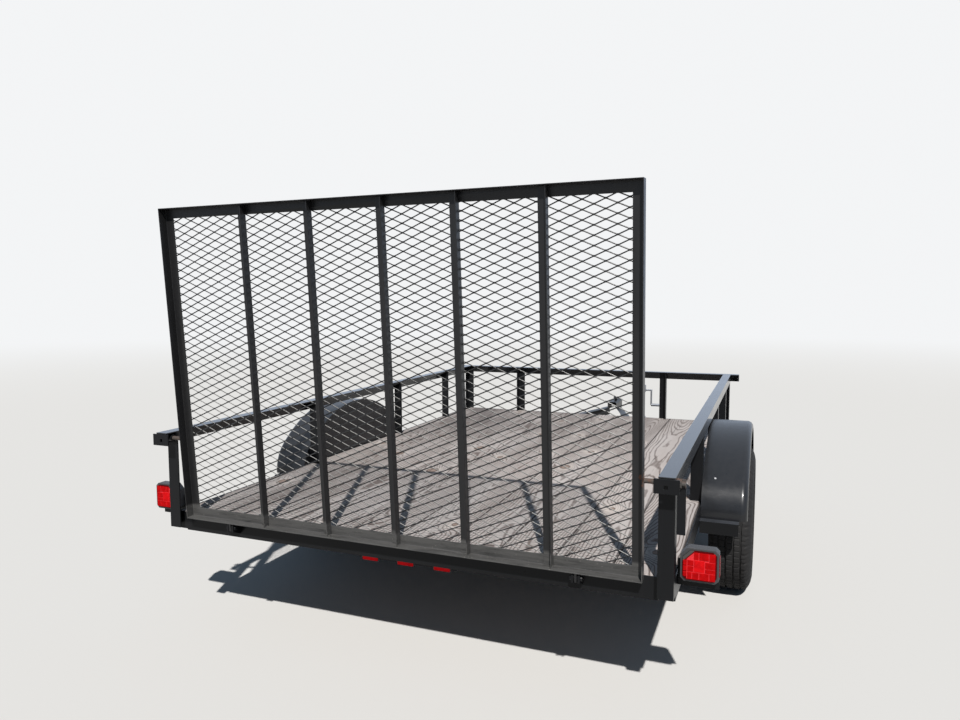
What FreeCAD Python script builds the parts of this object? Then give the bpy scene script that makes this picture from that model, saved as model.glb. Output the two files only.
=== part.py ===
import FreeCAD, Part
import math
import os
import re
import Sketcher
from FreeCAD import Placement, Rotation, Vector

# Single axle utility trailer with a wooden deck, open side rails and a mesh ramp gate.
# X points right, Y forward to the tongue, Z up from the ground.
# Y values in the sheet are counted from the rear ends of the top rails; the model's
# origin lies on the ground, halfway between its rearmost and foremost points.

doc = FreeCAD.newDocument("utility_trailer")
sheet = doc.addObject("Spreadsheet::Sheet", "Sizes")

# Driving dimensions in millimetres and degrees: name, value
SIZES = (
    ("frame_width", 2018),
    ("frame_rear", 90),
    ("frame_length", 3110),
    ("frame_floor", 450),
    ("main_tall", 76),
    ("main_flat", 51),
    ("main_wall", 5),
    ("joist_flat", 38),
    ("joist_wall", 5),
    ("joist_first", 120),
    ("joist_pitch", 580),
    ("board_thick", 38),
    ("board_gap", 3),
    ("board_end_gap", 2),
    ("rail_top", 870),
    ("rail_leg", 51),
    ("rail_wall", 5),
    ("rail_overhang", 54),
    ("post_leg", 51),
    ("post_wall", 5),
    ("rear_post_back", 38),
    ("post_foot_lift", 20),
    ("post_two", 940),
    ("post_three", 1875),
    ("post_four", 2610),
    ("axle_place", 1410),
    ("wheel_radius", 345),
    ("wheel_gap", 15),
    ("tyre_width", 190),
    ("rim_radius", 190),
    ("rim_width", 140),
    ("rim_wall", 3),
    ("rim_lip", 12),
    ("rim_drop", 22),
    ("rim_dish", 24),
    ("rim_slot_radius", 13),
    ("axle_radius", 30),
    ("spindle_radius", 17),
    ("hub_radius", 38),
    ("hub_flange_radius", 72),
    ("hub_flange_thick", 10),
    ("bearing_gap", 0.05),
    ("wheel_bolt_circle", 114.3),
    ("wheel_bolt_hole", 7),
    ("fender_top", 806),
    ("fender_reach", 188),
    ("fender_half_long", 536),
    ("fender_crown_radius", 700),
    ("fender_corner_radius", 200),
    ("fender_wall", 2),
    ("fender_lip", 34),
    ("fender_round", 26),
    ("fender_seat", 472),
    ("stub_tall", 51),
    ("stub_long", 155),
    ("spring_half_long", 320),
    ("spring_width", 44),
    ("leaf_thick", 7),
    ("spring_radius", 2850),
    ("spring_eye_radius", 12),
    ("spring_pin_radius", 7),
    ("spring_inset", 28),
    ("hanger_wall", 5),
    ("hanger_width", 50),
    ("axle_seat_thick", 6),
    ("u_bolt_radius", 6),
    ("tie_plate_thick", 10),
    ("tongue_rear", 2440),
    ("tongue_front", 4180),
    ("tongue_front_half", 52),
    ("ball_place", 4300),
    ("ball_radius", 25.6),
    ("ball_height", 466),
    ("coupler_radius", 38),
    ("coupler_wall", 6),
    ("coupler_slope", 11),
    ("coupler_top", 506),
    ("jack_place", 3760),
    ("jack_offset", 300),
    ("jack_radius", 28.5),
    ("jack_wall", 4),
    ("jack_gap", 0.3),
    ("jack_bottom", 200),
    ("jack_top", 700),
    ("jack_leg_top", 480),
    ("jack_head_radius", 35),
    ("jack_head_tall", 54),
    ("jack_collar_tall", 62),
    ("jack_plate_long", 100),
    ("jack_plate_wall", 8),
    ("jack_pivot_radius", 19),
    ("jack_foot_size", 150),
    ("jack_foot_thick", 6),
    ("crank_radius", 7),
    ("crank_throw", 120),
    ("gate_side_gap", 95),
    ("gate_height", 1234),
    ("gate_leg", 38),
    ("gate_wall", 3.2),
    ("gate_lean", 4.15),
    ("gate_bottom", 519),
    ("gate_gap", 6),
    ("bar_flange", 34),
    ("bar_depth", 30),
    ("mesh_long", 72.3),
    ("mesh_short", 31),
    ("mesh_strand", 3),
    ("mesh_sheet", 1.5),
    ("mesh_lap", 14),
    ("hinge_drop", 22),
    ("hinge_behind", 20),
    ("hinge_pin_radius", 8),
    ("hinge_gap", 0.5),
    ("hinge_plate", 8),
    ("hinge_side_gap", 3),
    ("latch_drop", 25),
    ("latch_behind", 38),
    ("latch_pin_radius", 8),
    ("latch_guide_radius", 13),
    ("latch_plate_width", 77),
    ("latch_plate_tall", 46),
    ("latch_plate_thick", 5),
    ("latch_plate_out", 13),
    ("latch_slot", 12),
    ("latch_handle_width", 26),
    ("latch_handle_long", 172),
    ("latch_handle_wall", 6),
    ("latch_tip_gap", 2),
    ("lamp_size", 116),
    ("lamp_tall", 107),
    ("lamp_depth", 40),
    ("lamp_behind", 105),
    ("lamp_floor", 521),
    ("lamp_in", 12),
    ("lamp_rim", 7),
    ("lamp_chamfer", 22),
    ("lens_depth", 12),
    ("bracket_wall", 3),
    ("bar_lamp_pitch", 153),
    ("bar_lamp_width", 62),
    ("bar_lamp_tall", 26),
    ("bar_lamp_depth", 14),
    ("lamp_bar_width", 420),
    ("lamp_bar_tall", 62),
    ("lamp_bar_floor", 398),
)

# Sizes worked out from the driving ones: name, formula
DERIVED = (
    ("half_width", "=frame_width / 2"),
    ("front_post_place", "=frame_width * 0.2707"),
    ("wheel_place", "=half_width + wheel_gap + tyre_width / 2"),
    ("fender_outer", "=half_width + fender_reach"),
    ("tongue_rear_half", "=frame_width * 0.3"),
    ("gate_width", "=frame_width - 2 * gate_side_gap"),
    ("hinge_place", "=gate_width * 0.383"),
    ("latch_height", "=rail_top - latch_drop"),
    ("frame_front", "=frame_rear + frame_length"),
    ("frame_top", "=frame_floor + main_tall"),
    ("deck_under", "=frame_top - board_thick"),
    ("joist_tall", "=deck_under - frame_floor"),
    ("post_top", "=rail_top - rail_wall"),
    ("rail_half", "=half_width + rail_wall"),
    ("side_rail_front", "=frame_front + rail_wall - rail_leg"),
    ("axle_y", "=frame_rear + axle_place"),
    ("gate_front_y", "=frame_rear - gate_gap - 2 * mesh_sheet"),
    ("gate_rear_y", "=gate_front_y - gate_height * sin(gate_lean * 1deg) - gate_leg * cos(gate_lean * 1deg)"),
    ("coupler_front_y", "=ball_place + coupler_radius"),
    ("middle_y", "=(gate_rear_y + coupler_front_y) / 2"),
)

JOISTS = 6
BOARDS = 10
# Right edges of the gate's upright bars, as shares of its width
GATE_BARS = (0.3386, 0.1756, 0.0263, -0.1335, -0.2905)
WHEEL_BOLTS = 5
RIM_SLOTS = 10
SIDES = (("left", -1), ("right", 1))


def fill_sheet():
    """Writes the driving and the derived sizes, each with its name as alias."""
    for row, (name, content) in enumerate(SIZES + DERIVED, start=1):
        sheet.set(f"A{row}", name)
        sheet.set(f"B{row}", str(content))
        sheet.setAlias(f"B{row}", name)
    doc.recompute()


def value(text):
    """The number that an expression of sheet names gives."""
    return float(sheet.evalExpression(str(text)))


def linked(text):
    """The same expression, with each name pointing at the sheet."""
    known = {name for name, content in SIZES + DERIVED}
    return re.sub(r"[a-z_]+", lambda m: "Sizes." + m.group() if m.group() in known else m.group(), str(text))


def bind(thing, prop, text):
    thing.setExpression(prop, linked(text))


def place(thing, x="0", y="middle_y", z="0", turn=None):
    """Puts a thing at x, y, z, with y counted from the rail ends."""
    if turn is not None:
        thing.Placement = Placement(Vector(0, 0, 0), turn)
    bind(thing, "Placement.Base.x", x)
    bind(thing, "Placement.Base.y", f"({y}) - middle_y")
    bind(thing, "Placement.Base.z", z)
    return thing


def origin_plane(body, role):
    return [feature for feature in body.Origin.OriginFeatures if feature.Role == role][0]


def outline_sketch(body, role, corners):
    """A closed outline of straight lines with each corner tied to the sheet."""
    sketch = body.newObject("Sketcher::SketchObject", "outline")
    sketch.AttachmentSupport = (origin_plane(body, role), [""])
    sketch.MapMode = "FlatFace"
    places = [Vector(value(u), value(v), 0) for u, v in corners]
    count = len(places)
    for i in range(count):
        sketch.addGeometry(Part.LineSegment(places[i], places[(i + 1) % count]))
    for i in range(count):
        sketch.addConstraint(Sketcher.Constraint("Coincident", i, 2, (i + 1) % count, 1))
    for i, (u, v) in enumerate(corners):
        for kind, text, axis in (("DistanceX", u, -2), ("DistanceY", v, -1)):
            if text == "0":
                sketch.addConstraint(Sketcher.Constraint("PointOnObject", i, 1, axis))
                continue
            number = sketch.addConstraint(Sketcher.Constraint(kind, -1, 1, i, 1, value(text)))
            bind(sketch, f"Constraints[{number}]", text)
    return sketch


def circle_sketch(body, role, circles):
    """Circles, each given as u, v, radius."""
    sketch = body.newObject("Sketcher::SketchObject", "circles")
    sketch.AttachmentSupport = (origin_plane(body, role), [""])
    sketch.MapMode = "FlatFace"
    for i, (u, v, radius) in enumerate(circles):
        centre = Vector(value(u), value(v), 0)
        sketch.addGeometry(Part.Circle(centre, Vector(0, 0, 1), value(radius)))
        number = sketch.addConstraint(Sketcher.Constraint("Radius", i, value(radius)))
        bind(sketch, f"Constraints[{number}]", radius)
        for kind, text, axis in (("DistanceX", u, -2), ("DistanceY", v, -1)):
            if text == "0":
                sketch.addConstraint(Sketcher.Constraint("PointOnObject", i, 3, axis))
                continue
            number = sketch.addConstraint(Sketcher.Constraint(kind, -1, 1, i, 3, value(text)))
            bind(sketch, f"Constraints[{number}]", text)
    return sketch


# Plane of the section, and whether the pad has to be reversed, for a run along each axis
RUNS = {"x": ("YZ_Plane", False), "y": ("XZ_Plane", True), "z": ("XY_Plane", False)}


def add_pad(body, axis, sketch, length, centred=False):
    pad = body.newObject("PartDesign::Pad", "run")
    pad.Profile = sketch
    pad.Reversed = RUNS[axis][1]
    if centred:
        pad.SideType = "Symmetric"
    bind(pad, "Length", length)
    return pad


def add_pocket(body, sketch, length, reversed_cut=False, centred=False):
    pocket = body.newObject("PartDesign::Pocket", "cut")
    pocket.Profile = sketch
    pocket.Reversed = reversed_cut
    if centred:
        pocket.SideType = "Symmetric"
    bind(pocket, "Length", length)
    return pocket


def run(name, axis, corners, length, centred=False):
    """A body that is one straight outline drawn out along an axis."""
    body = doc.addObject("PartDesign::Body", name)
    sketch = outline_sketch(body, RUNS[axis][0], corners)
    add_pad(body, axis, sketch, length, centred)
    return body


def ell(leg_u, leg_v, wall, u_sign=1, v_sign=1):
    """Corners of an angle section whose outer corner is the sketch origin."""
    u = "-" if u_sign < 0 else ""
    v = "-" if v_sign < 0 else ""
    return [
        ("0", "0"),
        (f"{u}{leg_u}", "0"),
        (f"{u}{leg_u}", f"{v}{wall}"),
        (f"{u}{wall}", f"{v}{wall}"),
        (f"{u}{wall}", f"{v}{leg_v}"),
        ("0", f"{v}{leg_v}"),
    ]


def rectangle(u_low, v_low, u_high, v_high):
    return [(u_low, v_low), (u_high, v_low), (u_high, v_high), (u_low, v_high)]


def group(name, members):
    """One node that holds several like pieces."""
    together = doc.addObject("Part::Compound", name)
    together.Links = members
    return together


def fuse(name, members):
    joined = doc.addObject("Part::MultiFuse", name)
    joined.Shapes = members
    return joined


def cut(name, base, tool):
    result = doc.addObject("Part::Cut", name)
    result.Base = base
    result.Tool = tool
    return result


def cylinder(name, radius, length, turn=None, x="0", y="middle_y", z="0"):
    rod = doc.addObject("Part::Cylinder", name)
    bind(rod, "Radius", radius)
    bind(rod, "Height", length)
    return place(rod, x, y, z, turn)


def box(name, wide, deep, tall, x="0", y="middle_y", z="0"):
    block = doc.addObject("Part::Box", name)
    bind(block, "Length", wide)
    bind(block, "Width", deep)
    bind(block, "Height", tall)
    return place(block, x, y, z)


ALONG_X = Rotation(Vector(0, 1, 0), 90)
ALONG_Y = Rotation(Vector(1, 0, 0), -90)


# Main frame and floor

def frame_side(name, side):
    """Side angle: a standing leg outside and a flat leg inward at the bottom."""
    corners = ell("main_flat", "main_tall", "main_wall", u_sign=-side)
    body = run(name, "y", corners, "frame_length + rear_post_back - post_leg")
    return place(body, f"{side} * half_width", "frame_rear - rear_post_back + post_leg", "frame_floor")


def coped_member(name, tall_corners, flat_corners, tall_length, flat_length):
    """A cross angle whose two legs end at different places."""
    body = run(name, "x", tall_corners, tall_length, centred=True)
    sketch = outline_sketch(body, "YZ_Plane", flat_corners)
    add_pad(body, "x", sketch, flat_length, centred=True)
    return body


def frame_rear_member():
    """Rear angle, coped to sit inside the side angles."""
    tall = rectangle("0", "main_wall", "main_wall", "main_tall")
    flat = rectangle("0", "0", "main_flat", "main_wall")
    body = coped_member("frame_rear", tall, flat, "frame_width - 2 * main_wall", "frame_width - 2 * main_flat")
    return place(body, "0", "frame_rear", "frame_floor")


def frame_front_member():
    """Front angle, coped to sit inside the side angles."""
    tall = rectangle("-main_wall", "main_wall", "0", "main_tall")
    flat = rectangle("-main_flat", "0", "0", "main_wall")
    body = coped_member(
        "frame_front", tall, flat, "frame_width - 2 * main_wall", "frame_width - 2 * main_flat"
    )
    return place(body, "0", "frame_front", "frame_floor")


def joist(number):
    """Floor joist: a flat leg under the boards and a coped leg hanging from it."""
    flat = rectangle("0", "-joist_wall", "joist_flat", "0")
    tall = rectangle("0", "-joist_tall", "joist_wall", "-joist_wall")
    body = coped_member(
        f"joist_{number}", flat, tall, "frame_width - 2 * main_wall", "frame_width - 2 * main_flat"
    )
    return place(body, "0", f"frame_rear + joist_first + {number} * joist_pitch", "deck_under")


def deck_boards():
    """Boards lying lengthwise, evenly spread between the side angles."""
    span = "(frame_width - 2 * main_wall)"
    wide = f"(({span} - {BOARDS + 1} * board_gap) / {BOARDS})"
    length = "frame_length - 2 * main_wall - 2 * board_end_gap"
    boards = []
    for number in range(BOARDS):
        board = box(
            f"board_{number}",
            wide,
            length,
            "board_thick",
            f"main_wall - half_width + board_gap + {number} * ({wide} + board_gap)",
            "frame_rear + main_wall + board_end_gap",
            "deck_under",
        )
        boards.append(board)
    return group("deck_boards", boards)


# Top rails and posts

def side_rail(side_name, side):
    """Angle over the posts, with a hole for the latch pin in its hanging leg."""
    body = run(
        f"top_rail_{side_name}", "y", ell("rail_leg", "rail_leg", "rail_wall", -side, -1), "side_rail_front"
    )
    hole = circle_sketch(body, "YZ_Plane", [("latch_behind", "latch_height - rail_top", "latch_pin_radius + 0.6")])
    add_pocket(body, hole, "3 * rail_wall", centred=True)
    return place(body, f"{side} * rail_half", "0", "rail_top")


def front_rail():
    corners = ell("rail_leg", "rail_leg", "rail_wall", -1, -1)
    body = run("top_rail_front", "x", corners, "2 * (rail_half + rail_overhang)", centred=True)
    return place(body, "0", "frame_front + rail_wall", "rail_top")


def post(name, x, y, foot, u_sign, v_sign):
    corners = ell("post_leg", "post_leg", "post_wall", u_sign, v_sign)
    body = run(name, "z", corners, f"post_top - ({foot})")
    return place(body, x, y, foot)


def side_posts(side_name, side):
    """The posts of one side; the rear one stands behind the side angle and reaches down its end."""
    low = "frame_floor + post_foot_lift"
    # name, place, foot, whether the flange faces the front
    table = (
        ("rear", "frame_rear - rear_post_back", low, False),
        ("two", "frame_rear + post_two", "frame_top", False),
        ("three", "frame_rear + post_three", "frame_top", False),
        ("four", "frame_rear + post_four", "frame_top", False),
        ("front", "frame_front", "frame_top", True),
    )
    posts = []
    for label, where, foot, faces_front in table:
        name = f"post_{side_name}_{label}"
        posts.append(post(name, f"{side} * half_width", where, foot, -side, -1 if faces_front else 1))
    return group(f"posts_{side_name}", posts)


def front_posts():
    posts = []
    for side_name, side in SIDES:
        x = f"{side} * (front_post_place + post_leg / 2)"
        posts.append(post(f"front_post_{side_name}", x, "frame_front", "frame_top", -side, -1))
    return group("posts_front", posts)


# Fenders

def fender_face(inset, floor, x):
    """The fender's side outline as a face: a flat crown arc, two corner arcs and upright ends."""
    crown = value("fender_crown_radius") - inset
    corner = value("fender_corner_radius") - inset
    reach = value("fender_half_long") - value("fender_corner_radius")
    crown_z = value("fender_top") - value("fender_crown_radius")
    corner_z = crown_z + math.sqrt((crown - corner) ** 2 - reach ** 2)
    lean = math.atan2(reach, corner_z - crown_z)
    y = value("axle_y")
    end = reach + corner

    def at(dy, z):
        return Vector(x, y + dy, z)

    shoulder = (crown * math.sin(lean), crown_z + crown * math.cos(lean))
    bend = (lean + math.pi / 2) / 2
    knee = (reach + corner * math.sin(bend), corner_z + corner * math.cos(bend))
    path = [
        Part.LineSegment(at(-end, floor), at(-end, corner_z)),
        Part.Arc(at(-end, corner_z), at(-knee[0], knee[1]), at(-shoulder[0], shoulder[1])),
        Part.Arc(at(-shoulder[0], shoulder[1]), at(0, crown_z + crown), at(*shoulder)),
        Part.Arc(at(*shoulder), at(*knee), at(end, corner_z)),
        Part.LineSegment(at(end, corner_z), at(end, floor)),
        Part.LineSegment(at(end, floor), at(-end, floor)),
    ]
    return Part.Face(Part.Wire([piece.toShape() for piece in path]))


def rounded(solid, x, floor, radius):
    """The solid with its edges in the plane x rounded, but for the one at the floor."""
    edges = []
    for edge in solid.Edges:
        low = edge.BoundBox
        if abs(low.XMin - x) < 0.01 and abs(low.XMax - x) < 0.01 and low.ZMax > floor + 1:
            edges.append(edge)
    return solid.makeFillet(radius, edges)


def fender(side_name, side):
    """Rolled sheet with a closed inner plate, a rounded outer edge and a narrow outer lip."""
    inner_x = value("half_width") + 0.3
    outer_x = value("fender_outer")
    wall = value("fender_wall")
    floor = value("fender_seat")
    width = outer_x - inner_x
    below = floor - 10
    edge = value("fender_round")
    solid = rounded(fender_face(0, floor, inner_x).extrude(Vector(width, 0, 0)), outer_x, floor, edge)
    hollow = fender_face(wall, below, inner_x + wall).extrude(Vector(width - 2 * wall, 0, 0))
    hollow = rounded(hollow, outer_x - wall, below, edge - wall)
    mouth = fender_face(value("fender_lip"), below, outer_x - 2 * wall).extrude(Vector(3 * wall, 0, 0))
    shape = solid.cut(hollow).cut(mouth)
    if side < 0:
        shape = shape.mirror(Vector(0, 0, 0), Vector(1, 0, 0))
    piece = doc.addObject("Part::Feature", f"fender_{side_name}")
    piece.Shape = shape
    piece.Placement = Placement(Vector(0, -value("middle_y"), 0), Rotation())
    return piece


def fender_stubs():
    """Short angles on the side frame; the fender ends stand on their flat legs."""
    stubs = []
    for side_name, side in SIDES:
        for end_name, end in (("rear", -1), ("front", 1)):
            corners = ell("main_flat", "stub_tall", "main_wall", -end, -1)
            body = run(f"stub_{side_name}_{end_name}", "x", corners, "stub_long")
            x = "half_width" if side > 0 else "-half_width - stub_long"
            y = f"axle_y + {end} * (fender_half_long + main_flat - 7)"
            stubs.append(place(body, x, y, "fender_seat"))
    return group("fender_brackets", stubs)


# Axle and springs

def spring_x(side):
    return f"{side} * (half_width - spring_inset)"


def axle_beam():
    """Tube axle with spindles and the seats that the springs rest on."""
    tube_half = "(wheel_place - tyre_width / 2 + 15)"
    pieces = [cylinder("axle_tube", "axle_radius", f"2 * {tube_half}", ALONG_X, f"-{tube_half}", "axle_y", "wheel_radius")]
    for side_name, side in SIDES:
        start = tube_half if side > 0 else f"-{tube_half} - spindle_long"
        start = start.replace("spindle_long", "(wheel_place + 40 - (wheel_place - tyre_width / 2 + 15))")
        length = f"wheel_place + 40 - {tube_half}"
        pieces.append(
            cylinder(f"spindle_{side_name}", "spindle_radius", length, ALONG_X, start, "axle_y", "wheel_radius")
        )
        seat = box(
            f"axle_seat_{side_name}",
            "spring_width",
            "2 * axle_radius",
            "axle_radius + axle_seat_thick",
            f"{spring_x(side)} - spring_width / 2",
            "axle_y - axle_radius",
            "wheel_radius",
        )
        pieces.append(seat)
    return fuse("axle_beam", pieces)


def leaf(name, side, number, half_long):
    """One curved leaf, cut from a ring around a far centre above the axle."""
    outer = f"(spring_radius + {number} * leaf_thick)"
    wide = "spring_width"
    x = f"{spring_x(side)} - spring_width / 2"
    centre_z = "(wheel_radius + axle_radius + axle_seat_thick + 4 * leaf_thick + spring_radius)"
    disc = cylinder(f"{name}_disc", f"{outer} + leaf_thick", wide, ALONG_X, x, "axle_y", centre_z)
    core = cylinder(f"{name}_core", outer, wide, ALONG_X, x, "axle_y", centre_z)
    ring = cut(f"{name}_ring", disc, core)
    window = box(f"{name}_window", wide, f"2 * {half_long}", "300", x, f"axle_y - {half_long}", f"{centre_z} - {outer} - 200")
    piece = doc.addObject("Part::Common", name)
    piece.Base = ring
    piece.Tool = window
    return piece


def spring_eye_z():
    rise = "(spring_radius - sqrt(spring_radius ^ 2 - spring_half_long ^ 2))"
    return f"wheel_radius + axle_radius + axle_seat_thick + 4 * leaf_thick + {rise} + spring_eye_radius - leaf_thick"


def leaf_spring(side_name, side):
    """Four leaves, each shorter than the one above it, and two rolled eyes."""
    name = f"leaf_spring_{side_name}"
    pieces = []
    for number, share in enumerate((1, 0.82, 0.6, 0.38)):
        pieces.append(leaf(f"{name}_{number}", side, number, f"({share} * spring_half_long)"))
    x = f"{spring_x(side)} - spring_width / 2"
    for end_name, end in (("rear", -1), ("front", 1)):
        y = f"axle_y + {end} * spring_half_long"
        outer = cylinder(f"{name}_eye_{end_name}", "spring_eye_radius", "spring_width", ALONG_X, x, y, spring_eye_z())
        pieces.append(outer)
    body = fuse(f"{name}_pack", pieces)
    bores = []
    for end_name, end in (("rear", -1), ("front", 1)):
        y = f"axle_y + {end} * spring_half_long"
        bore = cylinder(f"{name}_bore_{end_name}", "spring_pin_radius + 0.2", "spring_width", ALONG_X, x, y, spring_eye_z())
        bores.append(bore)
    return cut(name, body, fuse(f"{name}_bores", bores))


def spring_hangers():
    """Two cheeks and a pin at each spring end, hanging from the side frame."""
    hangers = []
    cheek_gap = "(spring_width / 2 + 1)"
    for side_name, side in SIDES:
        for end_name, end in (("rear", -1), ("front", 1)):
            name = f"hanger_{side_name}_{end_name}"
            y = f"axle_y + {end} * spring_half_long"
            cheeks = []
            for cheek_name, cheek in (("in", -1), ("out", 1)):
                start = f"{spring_x(side)} + {cheek_gap}" if cheek > 0 else f"{spring_x(side)} - {cheek_gap} - hanger_wall"
                bottom = f"({spring_eye_z()} - spring_eye_radius - 4)"
                cheeks.append(
                    box(
                        f"{name}_{cheek_name}",
                        "hanger_wall",
                        "hanger_width",
                        f"frame_floor - {bottom}",
                        start,
                        f"{y} - hanger_width / 2",
                        bottom,
                    )
                )
            pin_long = f"2 * ({cheek_gap} + hanger_wall + 6)"
            pin_x = f"{spring_x(side)} - {cheek_gap} - hanger_wall - 6"
            cheeks.append(cylinder(f"{name}_pin", "spring_pin_radius", pin_long, ALONG_X, pin_x, y, spring_eye_z()))
            hangers.append(fuse(name, cheeks))
    return group("spring_hangers", hangers)


def u_bolts():
    """On each side two U-bolts round the axle, drawn up to a plate over the spring."""
    sets = []
    reach = "(axle_radius + u_bolt_radius + 0.2)"
    half_long = f"({reach} + u_bolt_radius + 4)"
    rise = f"(spring_radius - sqrt(spring_radius ^ 2 - {half_long} ^ 2))"
    plate_z = f"(wheel_radius + axle_radius + axle_seat_thick + 4 * leaf_thick + {rise})"
    for side_name, side in SIDES:
        pieces = []
        for bolt_name, bolt in (("in", -1), ("out", 1)):
            x = f"{spring_x(side)} + {bolt} * (spring_width / 2 + u_bolt_radius + 0.5)"
            bend = doc.addObject("Part::Torus", f"u_bend_{side_name}_{bolt_name}")
            bind(bend, "Radius1", reach)
            bind(bend, "Radius2", "u_bolt_radius")
            bend.Angle3 = 180
            place(bend, x, "axle_y", "wheel_radius", Rotation(Vector(0, 1, 0), Vector(0, 0, -1), Vector(-1, 0, 0)))
            pieces.append(bend)
            for leg_name, leg in (("rear", -1), ("front", 1)):
                rod = cylinder(
                    f"u_leg_{side_name}_{bolt_name}_{leg_name}",
                    "u_bolt_radius",
                    f"{plate_z} + tie_plate_thick + 12 - wheel_radius",
                    None,
                    x,
                    f"axle_y + {leg} * {reach}",
                    "wheel_radius",
                )
                pieces.append(rod)
        half_wide = "(spring_width / 2 + 2 * u_bolt_radius + 4)"
        pieces.append(
            box(
                f"tie_plate_{side_name}",
                f"2 * {half_wide}",
                f"2 * {half_long}",
                "tie_plate_thick",
                f"{spring_x(side)} - {half_wide}",
                f"axle_y - {half_long}",
                plate_z,
            )
        )
        sets.append(fuse(f"u_bolt_set_{side_name}", pieces))
    return group("axle_u_bolts", sets)


# Wheels

def turned(name, corners, side):
    """A body turned about the X axis from an outline of x and radius."""
    body = doc.addObject("PartDesign::Body", name)
    if side < 0:
        corners = [(f"-({x})" if x != "0" else x, r) for x, r in corners]
    sketch = outline_sketch(body, "XZ_Plane", corners)
    turn = body.newObject("PartDesign::Revolution", "turn")
    turn.Profile = sketch
    turn.ReferenceAxis = (sketch, ["H_Axis"])
    turn.Angle = 360
    return body


def wheel_spot(body, side):
    return place(body, f"{side} * wheel_place", "axle_y", "wheel_radius")


def tyre(side_name, side):
    """Hollow tyre: beads on the rim, bulged sidewalls, rounded shoulders."""
    half = "tyre_width / 2"
    corners = [
        ("-(rim_width / 2 + 2)", "rim_radius + 0.3"),
        ("-(rim_width / 2 + 2)", "rim_radius + rim_lip + 1"),
        (f"-({half} - 4)", "rim_radius + 45"),
        (f"-({half})", "(rim_radius + wheel_radius) / 2"),
        (f"-({half} - 6)", "wheel_radius - 42"),
        (f"-({half} - 18)", "wheel_radius - 16"),
        (f"-({half} - 36)", "wheel_radius - 3"),
        ("0", "wheel_radius"),
        (f"{half} - 36", "wheel_radius - 3"),
        (f"{half} - 18", "wheel_radius - 16"),
        (f"{half} - 6", "wheel_radius - 42"),
        (f"{half}", "(rim_radius + wheel_radius) / 2"),
        (f"{half} - 4", "rim_radius + 45"),
        ("rim_width / 2 + 2", "rim_radius + rim_lip + 1"),
        ("rim_width / 2 + 2", "rim_radius + 0.3"),
        ("rim_width / 2 - 12", "rim_radius + 0.3"),
        (f"{half} - 22", "rim_radius + 40"),
        (f"{half} - 24", "wheel_radius - 34"),
        (f"{half} - 44", "wheel_radius - 16"),
        (f"-({half} - 44)", "wheel_radius - 16"),
        (f"-({half} - 24)", "wheel_radius - 34"),
        (f"-({half} - 22)", "rim_radius + 40"),
        ("-(rim_width / 2 - 12)", "rim_radius + 0.3"),
    ]
    return wheel_spot(turned(f"tyre_{side_name}", corners, 1), side)


def rim(side_name, side):
    """Steel wheel: a dropped barrel with turned up edges and a dished disc."""
    half = "rim_width / 2"
    dish = "hub_flange_radius * 1.33"
    corners = [
        (f"-({half} + 2 * rim_wall)", "rim_radius + rim_lip"),
        (f"-({half} + 2 * rim_wall)", "rim_radius - rim_wall"),
        (f"-({half} - 0.7 * rim_drop)", "rim_radius - rim_wall"),
        (f"-({half} - 1.5 * rim_drop)", "rim_radius - rim_drop"),
        ("0.2 * rim_dish", "rim_radius - rim_drop"),
        ("rim_dish", "rim_radius - 2.6 * rim_drop"),
        ("0.9 * rim_dish", dish),
        ("0", "hub_flange_radius * 1.1"),
        ("0", "hub_flange_radius / 2"),
        ("rim_wall", "hub_flange_radius / 2"),
        ("rim_wall", "hub_flange_radius * 1.08"),
        ("0.9 * rim_dish + 1.2 * rim_wall", dish),
        ("rim_dish + 1.6 * rim_wall", "rim_radius - 2.6 * rim_drop"),
        ("0.2 * rim_dish + 2 * rim_wall", "rim_radius - rim_drop"),
        (f"{half} - 1.5 * rim_drop", "rim_radius - rim_drop"),
        (f"{half} - 0.7 * rim_drop", "rim_radius - rim_wall"),
        (f"{half} + 2 * rim_wall", "rim_radius - rim_wall"),
        (f"{half} + 2 * rim_wall", "rim_radius + rim_lip"),
        (f"{half} + rim_wall", "rim_radius + rim_lip"),
        (f"{half} + rim_wall", "rim_radius"),
        (f"{half} - 0.8 * rim_drop", "rim_radius"),
        (f"{half} - 1.6 * rim_drop", "rim_radius - rim_drop + rim_wall"),
        (f"-({half} - 1.6 * rim_drop)", "rim_radius - rim_drop + rim_wall"),
        (f"-({half} - 0.8 * rim_drop)", "rim_radius"),
        (f"-({half} + rim_wall)", "rim_radius"),
        (f"-({half} + rim_wall)", "rim_radius + rim_lip"),
    ]
    body = turned(f"rim_{side_name}", corners, side)
    bolts = circle_sketch(body, "YZ_Plane", [("0", "wheel_bolt_circle / 2", "wheel_bolt_hole")])
    first = add_pocket(body, bolts, "20", centred=True)
    around(body, first, WHEEL_BOLTS)
    slots = circle_sketch(body, "YZ_Plane", [("0", "hub_flange_radius * 1.58", "rim_slot_radius")])
    second = add_pocket(body, slots, "80", centred=True)
    around(body, second, RIM_SLOTS)
    return wheel_spot(body, side)


def around(body, feature, count):
    """Repeats a cut evenly about the wheel's axle."""
    doc.recompute()
    pattern = body.newObject("PartDesign::PolarPattern", "around")
    pattern.Originals = [feature]
    pattern.Axis = (origin_plane(body, "X_Axis"), [""])
    pattern.Angle = 360
    pattern.Occurrences = count
    body.Tip = pattern
    doc.recompute()


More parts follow.
